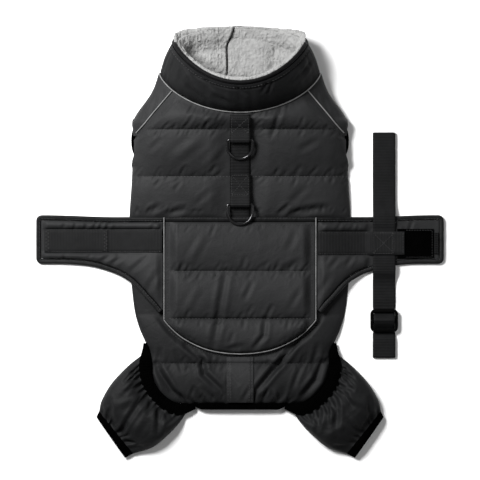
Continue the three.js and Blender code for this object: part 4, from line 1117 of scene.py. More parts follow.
def make_fleece():
    near_slit = np.linspace(1.5, 1.95, 150)
    rest = np.linspace(1.95, 1.5 + 2 * np.pi, 520)[1:-1]
    angles = np.concatenate([near_slit, rest])
    wall = FLEECE_WALL - 0.4
    face_rows, cap_rows = 76, 15
    face = np.linspace(0, 1, face_rows)
    cap = np.linspace(0, np.pi, cap_rows)
    length, roll = 62.0, 3.4
    v_face = face * (1.0 - roll / length)
    v_line = np.concatenate([v_face, v_face[-1] + np.sin(cap) * roll * 1.35 / length])
    d_line = np.concatenate([np.full(face_rows, -wall), -wall / 2 - np.cos(cap) * wall / 2])
    d_line[:face_rows] -= 2.6 * smoothstep(face, 0.76, 0.92) - 1.8 * np.exp(-(((face - 0.68) / 0.07) ** 2))
    angle, v = np.meshgrid(angles, v_line)
    d = np.broadcast_to(d_line[:, None], v.shape)
    row = np.broadcast_to(np.linspace(0, 1, len(v_line))[:, None], v.shape)
    surface = off(lining, angle, v, d)
    # At the throat the fleece rolls out over the bound edge.
    throat = smoothstep(np.sin(angle), -0.12, 0.1)
    out = (throat * smoothstep(row, 0.7, 1.0))[..., None]
    surface[..., :2] = lerp(surface[..., :2], throat_edge(angle), out)
    surface[..., 2] += throat * (4.2 * smoothstep(row, 0.62, 0.88) - 1.5 * smoothstep(row, 0.93, 1))
    # The left side swells up to the slit, where the lap's edge lies.
    turn = np.mod(angle, 2 * np.pi)
    from_edge = turn - lap_edge(v)
    beside = smoothstep(from_edge, 0.012, 0.034) * (1 - smoothstep(turn, 2.0, 2.5))
    slit = np.exp(-(((from_edge - 0.006) / 0.011) ** 2))
    surface[..., 2] += (3.8 * beside - 3.2 * slit) * smoothstep(v, 0.12, 0.35)
    normal = unit(np.cross(np.gradient(surface, axis=1), np.gradient(surface, axis=0)))
    middle = surface.mean((0, 1))
    if ((surface[:40] - middle) * normal[:40]).sum() > 0:
        normal = -normal
    fluffy = fluffed(surface, normal, 1.0)
    fluffy[..., 2] = np.maximum(fluffy[..., 2], 3.6)
    under = off(lining, angle, np.minimum(v, 0.99), -0.2)
    under = np.where(d[..., None] > -0.4, fluffy, under)
    piece = shell("fleece_lining", fluffy, under, FLEECE, wrap=True)
    lay(piece, "fleece", ["collar_lining"])

    # The lining's right half laps over the left one at the throat.
    share, v = np.meshgrid(1 - np.linspace(1, 0, 110) ** 1.4, np.linspace(0.12, 1.06, 90))
    angle = lerp(LAP_FROM, lap_edge(v), share)
    edge = smoothstep(lap_edge(v) - angle, 0, 0.022) * smoothstep(angle, LAP_FROM, LAP_FROM + 0.25)
    ends = smoothstep(v, 0.12, 0.24) * smoothstep(1.06 - v, 0, 0.08)
    high = FLEECE_WALL - 1.2 + 4.4 * np.sqrt(edge * ends)
    out = smoothstep(v, 0.8, 1.06)[..., None]
    top = off(lining, angle, v, -high)
    low = off(lining, angle, v, 2.2 - FLEECE_WALL)
    for grid, drawn_in in ((top, 0.0), (low, 1.5)):
        rolled = throat_edge(angle) - (0, drawn_in + 0.8)
        grid[..., :2] = lerp(grid[..., :2], rolled, out)
        grid[..., 2] += 3.2 * out[..., 0]
    top = fluffed(top, unit(top - low), 0.6)
    piece = shell("fleece_lap", top, low, FLEECE)
    lay(piece, "fleece", ["throat_lap"])


# Reflective piping

PIPING_SHOWN = 0.6


def piping(name, path, node_name, count):
    path = along(path, count)
    radius = PIPING_SHOWN * (1 + 0.06 * grain(path, 4.0, 51))
    dress(tube(name, cord_rings(path, radius), PIPING), "piping", node_name)


def make_piping():
    lift = PIPING_RADIUS + 0.5
    angle = np.radians(np.linspace(184, 356, 60))
    beside = point(0.9 * np.cos(angle), 0.6 * np.sin(angle), lift + 0.7)
    piping("piping_collar", seam_ring(angle) + beside, "collar_piping", 260)
    t = np.linspace(0.05, 0.97, 40)
    raglan = off(shoulder_cloth, np.full_like(t, 0.001), t, lift)
    piping("piping_raglan_right", raglan, "raglan_piping_right", 90)
    piping("piping_raglan_left", mirrored(raglan), "raglan_piping_left", 90)

    def height(x):
        return drape(x) + PIPING_RADIUS + 2.2

    for name, x in (("left", -SADDLE.side), ("right", SADDLE.side)):
        y = np.array([25.5, 21.0, -20, -50, -81])
        line = point(x, y, height(x) + np.array([2.6, 2.2, 0.4, 0.4, 0.3]))
        piping("piping_saddle_" + name, line, "saddle_piping_" + name, 120)
    x = np.linspace(-79.6, 79.6, 64)
    piping("piping_curve", point(x, lower_edge(np.abs(x), 0.8), height(x)), "saddle_piping_curve", 200)


# Saddle and wings

def make_saddle():
    t = np.linspace(0, 1, 121)
    xs = SADDLE_REACH * np.sin((t - 0.5) * 2.7) / math.sin(1.35)
    last = SADDLE_QUILTING[-1]
    rows = np.concatenate([np.linspace(SADDLE_QUILTING[0], last, 76), last - np.linspace(0.035, 1, 28)])
    outer, x, row = on_grid(saddle_surface, xs, rows)
    inner = point(outer[..., 0], outer[..., 1], drape(outer[..., 0]) + 0.1)
    line = np.linspace(-74, 74, 100)
    folds = traced(SADDLE_FOLDS)
    folds += puckers(saddle_surface(line, SADDLE_QUILTING[1]), 61, 9, 8, 0.9)
    folds += puckers(saddle_surface(line, last), 62, 9, 8, 0.9)
    folds += puckers(saddle_surface(line, SADDLE_QUILTING[0] - 3), 63, 10, 7, 0.7, ways=(-1,))
    curve = point(line * 0.94, lower_edge(np.abs(line * 0.94), 4), 14)
    folds += puckers(curve, 64, 9, 6, 0.9, lean=0.0, ways=(1,))
    outer = dented(outer, folds)
    keep_over(outer, inner, 0.6)
    pad(shell("quilted_saddle", outer, inner, SHELL), "shell", ["saddle_panel"])


WING_FOLDS = {
    "left": [
        (1.6, 0.7, 74, 230, 76, 222),
        (1.6, 0.7, 84.5, 230, 86.5, 222),
        (1.7, 0.8, 94, 230, 97, 221),
        (2.0, 1.1, 99, 230, 103, 222),
        (2.0, 1.2, 106, 230, 109.5, 221),
        (1.8, 0.8, 152, 230, 157, 222),
        (2.2, 1.2, 100, 262, 110, 256),
        (2.2, 1.1, 112, 264, 121, 257),
        (2.0, 0.8, 60, 264, 66, 255),
        (2.6, 1.1, 130, 272, 146, 258),
        (2.8, 1.0, 146, 292, 158, 272),
    ],
    "right": [
        (1.6, 0.7, 322, 229, 325, 222),
        (1.8, 0.9, 338, 229, 341, 222),
        (1.6, 0.6, 352, 229, 354, 222),
        (2.2, 1.0, 330, 268, 340, 257),
        (2.2, 1.0, 346, 266, 353, 256),
        (2.8, 1.0, 318, 296, 330, 276),
        (2.0, 0.8, 408, 264, 414, 256),
        (2.0, 0.7, 424, 264, 428, 256),
        (1.8, 0.7, 410, 227, 413, 221),
    ],
}


def wing_loft(x, share, is_right):
    end = smoothstep(WING_END - x, 0, 7) * smoothstep(x, 81, 88)
    under_strap = smoothstep(np.abs(x - GIRTH.x), 14, 22) if is_right else 1
    under_patch = smoothstep(HOOK_PATCH.x0 - x, 0, 8) if is_right else 1
    return WING_WALL + WING_LOFT * np.abs(np.sin(np.pi * share)) ** 0.6 * end * under_strap * under_patch


def make_wings():
    xs = np.linspace(80.9, WING_END, 96)
    shares = np.concatenate([np.linspace(0, 1, 12), np.linspace(1.1, 1.9, 7), np.linspace(2, 3, 22)])
    x, s = np.meshgrid(xs, shares)
    half = STRIP.width / 2
    for name, side, strip_y in (("left", -1, STRIP.left_y), ("right", 1, STRIP.right_y)):
        corner = SADDLE.corner * (1 - np.sqrt(np.maximum(0, 1 - np.clip((x - 205) / 5, 0, 1) ** 2))) * 0.6
        top = saddle_top(x) - BINDING_WIDTH - SEAM_GAP - corner
        low = np.minimum(lower_edge(x, BINDING_WIDTH + SEAM_GAP) + corner, strip_y - half - 1)
        y_high = lerp(top, strip_y + half, np.clip(s, 0, 1))
        y_low = lerp(strip_y - half, low, np.clip(s - 2, 0, 1))
        y_strip = lerp(strip_y + half, strip_y - half, np.clip(s - 1, 0, 1))
        y = np.where(s <= 1, y_high, np.where(s >= 2, y_low, y_strip))
        share = np.where(s <= 1, s, np.where(s >= 2, s - 2, 0))
        outer = point(side * x, y, drape(x) + wing_loft(x, share, side > 0))
        folds = traced(WING_FOLDS[name])
        strip_edge = np.linspace(90, 190, 60)
        for edge, way in ((strip_y + half + 0.5, 1), (strip_y - half - 0.5, -1)):
            line = point(side * strip_edge, edge, 6.0)
            folds += puckers(line, 70 + way + side, 11, 6, 0.7, ways=(way,))
        outer = dented(outer, folds)
        inner = point(side * x, y, drape(x) + 0.05)
        keep_over(outer, inner, 0.6)
        pad(shell("quilted_wing_" + name, outer, inner, SHELL), "shell", ["wing_" + name])


def binding_path():
    inset = BINDING_WIDTH / 2
    reach = SADDLE.reach - inset
    corner = SADDLE.corner - inset
    lower_x = np.array([83.5, 90, 97, 104, 111, 118, 126, 134, 144, 156, 176, 196.0])
    lower = np.stack([lower_x, lower_edge(lower_x, inset)], -1)

    def arc(centre_y, start, end):
        turn = np.radians(np.linspace(start, end, 5))
        return np.stack([reach - corner + corner * np.cos(turn), centre_y + corner * np.sin(turn)], -1)

    low_end = arc(lower_edge(205.0, inset) + corner, -90, 0)
    high_end = arc(saddle_top(205.0) - inset - corner, 0, 90)
    upper_x = np.array([190, 170, 150, 138, 130, 122, 114, 106, 98, 90, 80, 55, 30.0])
    upper = np.stack([upper_x, saddle_top(upper_x) - inset], -1)
    right = np.concatenate([lower, low_end, high_end, upper])
    middle = [[0, saddle_top(0.0) - inset]]
    return np.concatenate([right, middle, (right * (-1, 1))[::-1]])


def make_binding():
    flat = along(binding_path(), 900)
    path = point(flat[:, 0], flat[:, 1], drape(flat[:, 0]))
    turn = np.linspace(0, np.pi, 13)
    w, h = BINDING_WIDTH / 2, BINDING_HEIGHT
    across = -w * np.sign(np.cos(turn)) * np.abs(np.cos(turn)) ** 0.7
    # A sunk line of sewing 1.3 mm inside the band's inner edge.
    sunk = 0.5 * np.exp(-(((across - (w - 1.3)) / 0.6) ** 2))
    profile = np.stack([across, 0.1 + (h - 0.1) * np.sin(turn) ** 0.55 - sunk], -1)
    drawn = 1 + 0.07 * grain(path, 5.0, 81) + 0.05 * grain(path, 2.4, 82)
    profiles = profile * np.stack([np.ones_like(drawn), drawn], -1)[:, None]
    piece = tube("bound_edge", swept(path, profiles), BINDING)
    lay(piece, "shell", ["saddle_binding"])


def strap_on_wing(name, side, x0, x1, centre_y, base, node_name, rows=70):
    """Webbing that lies along a wing; base gives the height of its underside."""
    half = STRIP.width / 2 - 0.2
    x, a = np.meshgrid(np.linspace(x0, x1, rows), np.linspace(-1, 1, 13), indexing="ij")
    rounded = blunt(a, 12)
    edge = np.minimum(smoothstep(x, x0 - 0.4, x0 + 0.5), smoothstep(x1 + 0.4 - x, 0, 0.9))
    low = drape(x) + base(x)
    wavy = 0.12 * grain(point(x, a * half, 0), 9.0, 91)
    full = WEBBING * (0.4 + 0.6 * rounded * edge)
    top = point(side * x, centre_y + a * half, low + full + wavy)
    under = point(side * x, centre_y + a * half, low)
    lay(shell(name, top, under, WEB), "webbing", [node_name])


def make_strips():
    def on_wing(x):
        return WING_WALL + SEAM_GAP * np.ones_like(x)

    def over_girth(x):
        return WING_WALL + SEAM_GAP + (WEBBING + SEAM_GAP + 0.1) * smoothstep(x, 131, 137.5)

    inner, s = STRIP.inner_end, STRIP
    outer = s.lap + SEAM_GAP
    strap_on_wing("web_left_inner", -1, inner, s.lap, s.left_y, on_wing, "wing_strip_left_inner")
    strap_on_wing("web_left_outer", -1, outer, s.left_end, s.left_y, on_wing, "wing_strip_left_outer")
    strap_on_wing("web_right", 1, inner, s.right_end, s.right_y, over_girth, "wing_strip_right", rows=110)

    h = HOOK_PATCH
    x, y = np.meshgrid(np.linspace(h.x0, h.x1, 90), np.linspace(h.y0, h.y1, 70), indexing="ij")
    low = WING_WALL + SEAM_GAP
    rim = np.minimum(np.minimum(x - h.x0, h.x1 - x), np.minimum(y - h.y0, h.y1 - y))
    pile = 0.28 * grain(point(x, y, 0), 0.9, 92) * smoothstep(rim, 0.8, 2)
    top = point(x, y, low + WEBBING * (0.45 + 0.55 * smoothstep(rim, -0.4, 1.6)) + pile)
    piece = shell("hook_tape", top, point(x, y, low), HOOK)
    lay(piece, "hook", ["hook_patch"])

    p = PULL_TAB
    x, y = np.meshgrid(np.linspace(p.x0, p.x1, 15), np.linspace(p.y0, p.y1, 110), indexing="ij")
    ribs = 0.35 * np.sin(2 * np.pi * (y - p.y0) / 1.9)
    ends = smoothstep(np.minimum(x - p.x0, p.x1 - x), -0.5, 0.8)
    top = point(x, y, low + 1.2 + (0.8 + ribs) * ends)
    piece = shell("ribbed_tab", top, point(x, y, low), WEB)
    lay(piece, "webbing", ["pull_tab"])


# Girth strap and its slider

def girth_middle():
    flat = WEBBING / 2
    doubled = flat + WEBBING + SEAM_GAP

    def fold(y, way):
        radius = (WEBBING + SEAM_GAP) / 2
        turns = np.radians([-75, -25, 25, 75])
        middle_y, middle_z = y - way * (radius + flat), flat + radius
        return [(middle_y + way * radius * math.cos(t), middle_z + radius * math.sin(t)) for t in turns]

    on_wing = WING_WALL + SEAM_GAP + flat
    on_binding = BINDING_HEIGHT + SEAM_GAP + flat + 0.2
    over_bar = SLIDER.high + SEAM_GAP + flat + 0.2
    y, bar = SLIDER.y, SLIDER.middle / 2
    slot = (SLIDER.length - 2 * SLIDER.bar - SLIDER.middle) / 2
    end = SLIDER.length / 2
    down = [(56, flat), (85, flat), *fold(GIRTH.top, 1), (100, doubled), (70, doubled), (46, doubled)]
    over_wing = [(38, doubled + 0.6), (29, on_binding), (19.5, on_binding), (12.5, on_wing), (0, on_wing)]
    off_wing = [(-14.5, on_wing), (-17, on_binding), (-31, on_binding), (-38, 2.6), (-46, flat), (-60, flat)]
    through_slider = [
        (y + bar + slot, flat),
        (y + bar + 0.42 * slot, lerp(flat, over_bar, 0.66)),
        (y + bar, over_bar + 0.3),
        (y + 1.0, over_bar + 1.5),
        (y - bar + 0.4, over_bar),
        (y - bar - 0.35 * slot, lerp(flat, over_bar, 0.62)),
        (y - bar - slot, flat),
    ]
    tail = [(y - end - 1.5, flat + 0.2), (y - end - 7, doubled), (GIRTH.bottom + 6, doubled)]
    back_up = [*fold(GIRTH.bottom, -1)[::-1], (GIRTH.bottom + 6, flat), (y - end - 9, flat)]
    return down + over_wing + off_wing + through_slider + tail + back_up


def by_slider(y):
    """The share of its width that the strap keeps at y: the slider draws it in."""
    return 0.965 - 0.075 * (1 - smoothstep(np.abs(y - SLIDER.y), 9, 15))


def make_girth():
    middle = girth_middle()
    piece = ribbon(
        "girth_webbing", middle, WEBBING, GIRTH.x, GIRTH.width, GIRTH_WEB, 620, columns=25, drawn_in=by_slider
    )
    lay(piece, "webbing", ["girth_strap"])


def make_slider():
    """The tri-glide: a rounded plate with two slots, from a filled and bevelled outline."""
    s = SLIDER_SHOWN
    curve = bpy.data.curves.new("slider_outline", "CURVE")
    curve.dimensions = "2D"
    curve.fill_mode = "BOTH"
    slot_half = s.width / 2 - s.edge
    slot = (s.length - 2 * s.bar - s.middle) / 2
    shapes = [(-s.width / 2, s.width / 2, -s.length / 2, s.length / 2, SLIDER_CORNER)]
    for low in (s.middle / 2, -s.middle / 2 - slot):
        shapes.append((-slot_half, slot_half, low, low + slot, 0.5))
    for hole, (x0, x1, y0, y1, r) in enumerate(shapes):
        inset = -SLIDER_BEVEL if hole else SLIDER_BEVEL
        x0, x1, y0, y1 = x0 + inset, x1 - inset, y0 + inset, y1 - inset
        corners = [(x1 - r, y1 - r, 0), (x0 + r, y1 - r, 90), (x0 + r, y0 + r, 180), (x1 - r, y0 + r, 270)]
        outline = []
        for cx, cy, start in corners:
            for t in np.radians(start + np.linspace(0, 90, 9)):
                outline.append((GIRTH.x + cx + r * math.cos(t), s.y + cy + r * math.sin(t)))
        spline = curve.splines.new("POLY")
        spline.points.add(len(outline) - 1)
        for spot, (x, y) in zip(spline.points, outline):
            spot.co = (x * MM, y * MM, 0, 1)
        spline.use_cyclic_u = True
    curve.bevel_depth = SLIDER_BEVEL * MM
    curve.bevel_resolution = 4
    curve.extrude = ((s.high - s.low) / 2 - SLIDER_BEVEL) * MM
    made = bpy.data.objects.new("slider_outline", curve)
    bpy.context.scene.collection.objects.link(made)
    bpy.context.view_layer.update()
    mesh = bpy.data.meshes.new_from_object(made.evaluated_get(bpy.context.evaluated_depsgraph_get()))
    bpy.data.objects.remove(made)
    points = np.array([v.co for v in mesh.vertices]) / MM + (0, 0, (s.high + s.low) / 2)
    faces = [tuple(p.vertices) for p in mesh.polygons]
    solid = bpy.data.meshes.new("tri_glide")
    solid.from_pydata((points * MM).tolist(), [], faces)
    solid.polygons.foreach_set("use_smooth", [True] * len(faces))
    solid.materials.append(PLASTIC)
    piece = bpy.data.objects.new("tri_glide", solid)
    bpy.context.scene.collection.objects.link(piece)
    weld = piece.modifiers.new("weld", "WELD")
    weld.merge_threshold = 0.00001
    solid.set_sharp_from_angle(angle=math.radians(40))
    dress(piece, "buckle", "slider")


# Harness strap, loops and D-rings

def over_strap(y, height):
    p = off(back, np.zeros(1), np.full(1, float(y)), np.full(1, SEAM_GAP + 0.1 + WEBBING + height))[0]
    return p[1], p[2]


def make_harness():
    x, y = np.meshgrid(np.linspace(-1, 1, 13) * HARNESS_WIDTH / 2, np.linspace(HARNESS_TO, HARNESS_FROM, 170))
    u = np.arcsin(x / body_half(y)) / back_edge(y)
    rounded = blunt(x / (HARNESS_WIDTH / 2), 12)
    wavy = 0.1 * grain(point(x, y, 0), 8.0, 95)
    top = off(back, u, y, SEAM_GAP + 0.1 + WEBBING * (0.4 + 0.6 * rounded) + wavy)
    under = off(back, u, y, SEAM_GAP + 0.1)
    piece = shell("harness_webbing", top, under, HARNESS_WEB)
    lay(piece, "webbing", ["harness_strap"])

    for loop in LOOPS:
        bend = D_RING.wire + D_RING.play + FOLD_WALL / 2
        bar_height = SEAM_GAP + bend + FOLD_WALL / 2
        bar_y, bar_z = over_strap(loop.y, bar_height)
        ahead_y, ahead_z = over_strap(loop.y + 8, bar_height)
        lean = math.atan2(ahead_z - bar_z, ahead_y - bar_y)
        lower_layer = SEAM_GAP + FOLD_WALL / 2
        upper_layer = lower_layer + FOLD_WALL + SEAM_GAP
        shares = [1, 0.85, 0.7, 0.55, 0.42]
        turns = [math.radians(t) + lean for t in (70, 105, 140, 180, 220, 255, 285)]
        middle = [over_strap(loop.y + share * loop.tail, upper_layer) for share in shares]
        middle += [(bar_y + bend * math.cos(t), bar_z + bend * math.sin(t)) for t in turns]
        middle += [over_strap(loop.y + share * loop.tail, lower_layer) for share in reversed(shares)]
        name = "loop_webbing_" + loop.name
        piece = ribbon(name, middle, FOLD_WALL, 0, HARNESS_WIDTH, HARNESS_WEB, 150, columns=13)
        lay(piece, "webbing", ["ring_loop_" + loop.name])
        make_ring(loop, bar_y, bar_z)


def make_ring(loop, bar_y, bar_z):
    half, leg, wire = D_RING.half, D_RING.leg, D_RING.wire
    bow = np.linspace(0, np.pi, 49)
    corner = np.linspace(0, np.pi / 2, 6)[1:-1]
    bend = 2.4
    right = [(half - bend + bend * math.sin(t), -bend + bend * math.cos(t)) for t in corner]
    left = [(-x, y) for x, y in reversed(right)]
    bar = [(x, 0) for x in np.linspace(-half + bend, half - bend, 14)]
    legs = np.linspace(-bend, -leg, 5)[:-1]
    path = bar + right + [(half, y) for y in legs]
    path += [(half * math.cos(t), -leg - half * math.sin(t)) for t in bow]
    path += [(-half, y) for y in legs[::-1]] + left
    flat = np.array(path)
    rings = swept(point(flat[:, 0], flat[:, 1], 0), circle(wire, 18), closed=True)
    bow_y = loop.y - leg - half
    if loop.name == "upper":
        rest = back(np.zeros(1), np.full(1, bow_y))[0, 2] + SEAM_GAP + 0.1 + WEBBING
    else:
        rest = saddle_surface(np.zeros(1), np.full(1, bow_y - wire))[0, 2]
    tilt = math.asin((bar_z - (rest + SEAM_GAP + 0.2 + wire)) / (leg + half))
    c, s = math.cos(tilt), math.sin(tilt)
    x, y, z = np.moveaxis(rings, -1, 0)
    leaning = point(x, c * y - s * z + bar_y, s * y + c * z + bar_z)
    piece = tube("plated_ring_" + loop.name, leaning, RING, closed=True)
    dress(piece, "ring", "d_ring_" + loop.name, body="ring_" + loop.name)


# Tail strip, hem and hind legs

def make_tail():
    across = np.linspace(-1, 1, 29) * TAIL_STRIP.half
    x, y = np.meshgrid(across, np.linspace(TAIL_STRIP.start, TAIL_STRIP.end, 56))
    p = rear(np.arcsin(x / body_half(y)) / (np.pi / 2), y)
    high = np.maximum(p[..., 2], rear(0.0, y)[..., 2]) + SEAM_GAP + 0.5
    share = np.abs(x / TAIL_STRIP.half)
    lines = 0.45 * np.exp(-(((share - 0.86) / 0.05) ** 2))
    top = point(p[..., 0], p[..., 1], high + TAIL_STRIP.wall * (1 - 0.6 * share**8) - lines)
    top = dented(top, traced(TAIL_FOLDS))
    under = point(p[..., 0], p[..., 1], high)
    top[..., 2] = np.maximum(top[..., 2], high + 0.3)
    piece = shell("tail_cloth", top, under, SHELL)
    lay(piece, "shell", ["tail_strip"])


def flat_tube(name, across, vs, height, edge, columns, material, folds=()):
    """A tube of cloth pressed flat, with a slit between its two layers."""
    slit, margin = 0.5, 0.07
    level = edge + slit / 2
    low_t = np.linspace(1, 0, columns // 2 + 1)
    t, v = np.meshgrid(np.linspace(0, 1, columns + 1), vs)
    full = blunt(2 * t - 1, 4)
    x, y = across(t, v)
    top = point(x, y, np.maximum(level + (height(t, v) - level) * full, level + 0.1))
    rounded = smoothstep(np.minimum(t, 1 - t), 0, 0.08)[..., None]
    top = top * (1 - rounded) + dented(top, folds) * rounded
    top[..., 2] = np.maximum(top[..., 2], level + 0.1)
    t_low, v_low = np.meshgrid(low_t, vs)
    x, y = across(lerp(0.02, 0.98, t_low), v_low)
    outer = np.concatenate([top, point(x, y, 0.0)], 1)
    inner = []
    for share, rows, way in ((t, v, 1), (t_low, v_low, -1)):
        x, y = across(lerp(margin, 1 - margin, share), rows)
        inner.append(point(x, y, level + way * slit / 2))
    return shell(name, outer, np.concatenate(inner, 1), material, wrap=True)


def make_hem():
    # The band runs 9 mm past the hem's width at each end and curls up: black elastic laid over the rear's
    # lower edge to stand in for the shade there.
    reach = HEM.half + 9

    def across(t, v):
        x = lerp(-reach, reach, t)
        end = lerp(HEM.end, HEM.start - 1.2, smoothstep(np.abs(x), HEM.half - 5, reach + 1))
        return x, lerp(HEM.start + 0.6, end, v)

    def height(t, v):
        gather = 0.22 * np.sin(2 * np.pi * 19 * t) + 0.3 * grain(point(t * 60, v * 2, 0), 1.4, 96)
        return HEM.height + 0.8 + 0.5 * np.sin(np.pi * v) + gather

    piece = flat_tube("hem_elastic", across, np.linspace(0, 1, 9), height, 2.6, 200, ELASTIC)
    lay(piece, "elastic", ["hem_band"])


LEG_FOLDS = {
    "left": [
        (1.6, 1.0, 138, 374, 131, 372),
        (1.8, 1.1, 139, 378, 125, 381),
        (2.0, 1.2, 142, 384, 125, 392),
        (1.8, 1.0, 144, 389, 136, 395),
        (2.6, 2.0, 148, 393, 138, 405, 128, 420, 120, 433),
        (1.7, 1.0, 151, 398, 148, 406),
        (1.9, 1.2, 154, 402, 147, 414),
        (2.8, 2.4, 159, 405, 159, 418, 158, 433),
        (1.9, 1.1, 163, 407, 165, 416),
        (1.7, 0.8, 169, 409, 172, 417),
        (2.0, 1.2, 107, 419, 106, 411),
        (2.4, 1.6, 112, 427, 110, 412, 109, 400),
        (2.2, 1.3, 120, 434, 125, 425),
        (1.9, 1.1, 122, 440, 140, 445),
        (1.7, 0.9, 128, 447, 142, 447),
        (3.6, -1.2, 118, 405, 134, 398),
        (3.4, -1.1, 134, 432, 144, 416),
    ],
    "right": [
        (1.6, 1.0, 339, 366, 346, 363),
        (1.7, 1.0, 339, 370, 348, 368),
        (2.0, 1.2, 340, 375, 353, 376),
        (2.0, 1.2, 336, 385, 353, 389),
        (2.4, 1.8, 336, 389, 345, 396, 352, 406),
        (2.8, 2.2, 335, 395, 337, 412, 336, 431),
        (2.0, 1.3, 327, 403, 328, 424),
        (2.4, 1.6, 320, 409, 317, 430),
        (1.8, 0.9, 313, 413, 311, 420),
        (2.2, 1.3, 369, 399, 370, 420),
        (2.4, 1.5, 347, 420, 353, 428, 359, 433),
        (1.9, 1.0, 334, 446, 352, 446),
        (2.0, 1.1, 362, 428, 372, 415),
        (3.6, -1.2, 352, 398, 364, 404),
        (3.4, -1.1, 328, 436, 342, 424),
    ],
}


def make_legs():
    line = along([(p.x, p.y) for p in LEG_ELASTIC], 600)
    shares = np.linspace(0, 1, 600)
    ahead = unit(np.gradient(line, axis=0))

    def beside(t, distance):
        t = np.clip(t, 0, 1)
        x, y = (np.interp(t, shares, line[:, i]) for i in (0, 1))
        tx, ty = (np.interp(t, shares, ahead[:, i]) for i in (0, 1))
        return x + ty * distance, y - tx * distance

    def elastic_half(t):
        return LEG.elastic_half * lerp(0.3, 1, smoothstep(t, 0, 0.22)) * lerp(1, 0.62, smoothstep(t, 0.9, 1))

    def leg_start(t):
        at = lerp(0.13, 0.97, t)
        return beside(at, elastic_half(at) - 0.8)

    quarter = [0, 0.25, 0.5, 0.75, 1]
    outer_top, inner_top = leg_start(np.array(0.0)), leg_start(np.array(1.0))
    outer_end, inner_end = LEG_OUTLINE[-1][:2], LEG_OUTLINE[-1][2:]

    def edge(first, outline):
        return [through(quarter, column) for column in zip(first, *outline)]

    outer_edge = edge(outer_top, [r[:2] for r in LEG_OUTLINE])
    inner_edge = edge(inner_top, [r[2:] for r in LEG_OUTLINE])

    def leg(t, v):
        """A patch of cloth between its four edges, first its x and then its y."""
        made = []
        for i, start in enumerate(leg_start(t)):
            corners = lerp(lerp(outer_top[i], outer_end[i], v), lerp(inner_top[i], inner_end[i], v), t)
            lengthwise = lerp(start, lerp(outer_end[i], inner_end[i], t), v)
            made.append(lengthwise + lerp(outer_edge[i](v), inner_edge[i](v), t) - corners)
        return made

    def leg_height(t, v):
        swell = lerp(LEG.elastic_height, LEG.height, smoothstep(v, 0, 0.38))
        swell = swell * lerp(1, 0.42, smoothstep(v, 0.55, 1))
        uneven = 0.09 * grain(point(t * 9, v * 2, 0), 1.0, 97)
        at_elastic = 1.3 * np.cos(2 * np.pi * LEG.gathers * (t + uneven * 0.3))
        at_cuff = 1.0 * np.cos(2 * np.pi * LEG.cuff_gathers * (t + uneven * 0.5)) * smoothstep(v, 0.62, 0.95)
        return swell + at_elastic * (1 - smoothstep(v, 0.08, 0.42)) + at_cuff + 5 * uneven

    def cuff(t, v):
        ends = zip(outer_end, inner_end, CUFF_OUTER, CUFF_INNER)
        return [lerp(lerp(a, b, t), lerp(c, d, t), lerp(-0.03, 1, v)) for a, b, c, d in ends]

    def band(t, v):
        # The inner end widens and is drawn towards the hem, so the black elastic stands in for the shade on
        # the rear's lower edge between leg and hem.
        inward = elastic_half(t) + 3.0 * smoothstep(1.02 - t, 0, 0.1)
        x, y = beside(t, lerp(-inward, elastic_half(t), v))
        to_hem = smoothstep(t, 0.9, 1)
        return x + 7 * to_hem, y + 3.2 * to_hem

    def gathered(base, count, seed, rise=0.0):
        def height(t, v):
            low = lerp(3.6 - base, 0, smoothstep(t, 0, rise)) if rise else 0
            ripple = 0.16 * np.sin(2 * np.pi * count * t)
            ripple = ripple + 0.3 * grain(point(t * count * 1.6, v, 0), 1.0, seed)
            return base + low + 0.6 + 0.9 * np.sin(np.pi * v) + ripple
        return height

    for name, side in (("left", 1), ("right", -1)):
        def placed(shape, side=side):
            return lambda t, v: np.multiply(shape(t, v), np.reshape((side, 1), (2, 1, 1)))

        few = np.linspace(0, 1, 9)
        height = gathered(LEG.elastic_height, 34, 98, rise=0.16)
        piece = flat_tube("leg_band_" + name, placed(band), few, height, 3.2, 300, ELASTIC)
        lay(piece, "elastic", ["leg_elastic_" + name])
        many = np.linspace(0, 1, 84)
        folds = traced(LEG_FOLDS[name])
        piece = flat_tube("leg_cloth_" + name, placed(leg), many, leg_height, LEG.edge, 110, SHADED_LEG_NYLON, folds)
        pad(piece, "shell", ["leg_" + name])
        height = gathered(LEG.cuff_height, 20, 99)
        piece = flat_tube("cuff_elastic_" + name, placed(cuff), few, height, 2.8, 200, ELASTIC)
        lay(piece, "elastic", ["cuff_" + name])


# Sewing

ABOVE_ALL = 400


def top_of(*names):
    """A function that gives the height of built pieces at x and y."""
    points, faces = [], []
    for name in names:
        first = sum(len(p) for p in points)
        points.append(built[name][0])
        faces += [tuple(i + first for i in face) for face in built[name][1]]
    tree = BVHTree.FromPolygons(np.concatenate(points).tolist(), faces)

    def at(x, y):
        spot = tree.ray_cast(Vector((x, y, ABOVE_ALL)), Vector((0, 0, -1)))[0]
        return spot.z if spot else None

    return at


Thread = namedtuple("Thread", "pitch length radius")
CLOSE_THREAD = Thread(2.4, 1.8, 0.26)
WEB_THREAD = Thread(2.6, 1.9, 0.26)
EDGE_THREAD = Thread(3.2, 2.2, 0.26)
QUILT_THREAD = Thread(3.4, 2.2, 0.2)


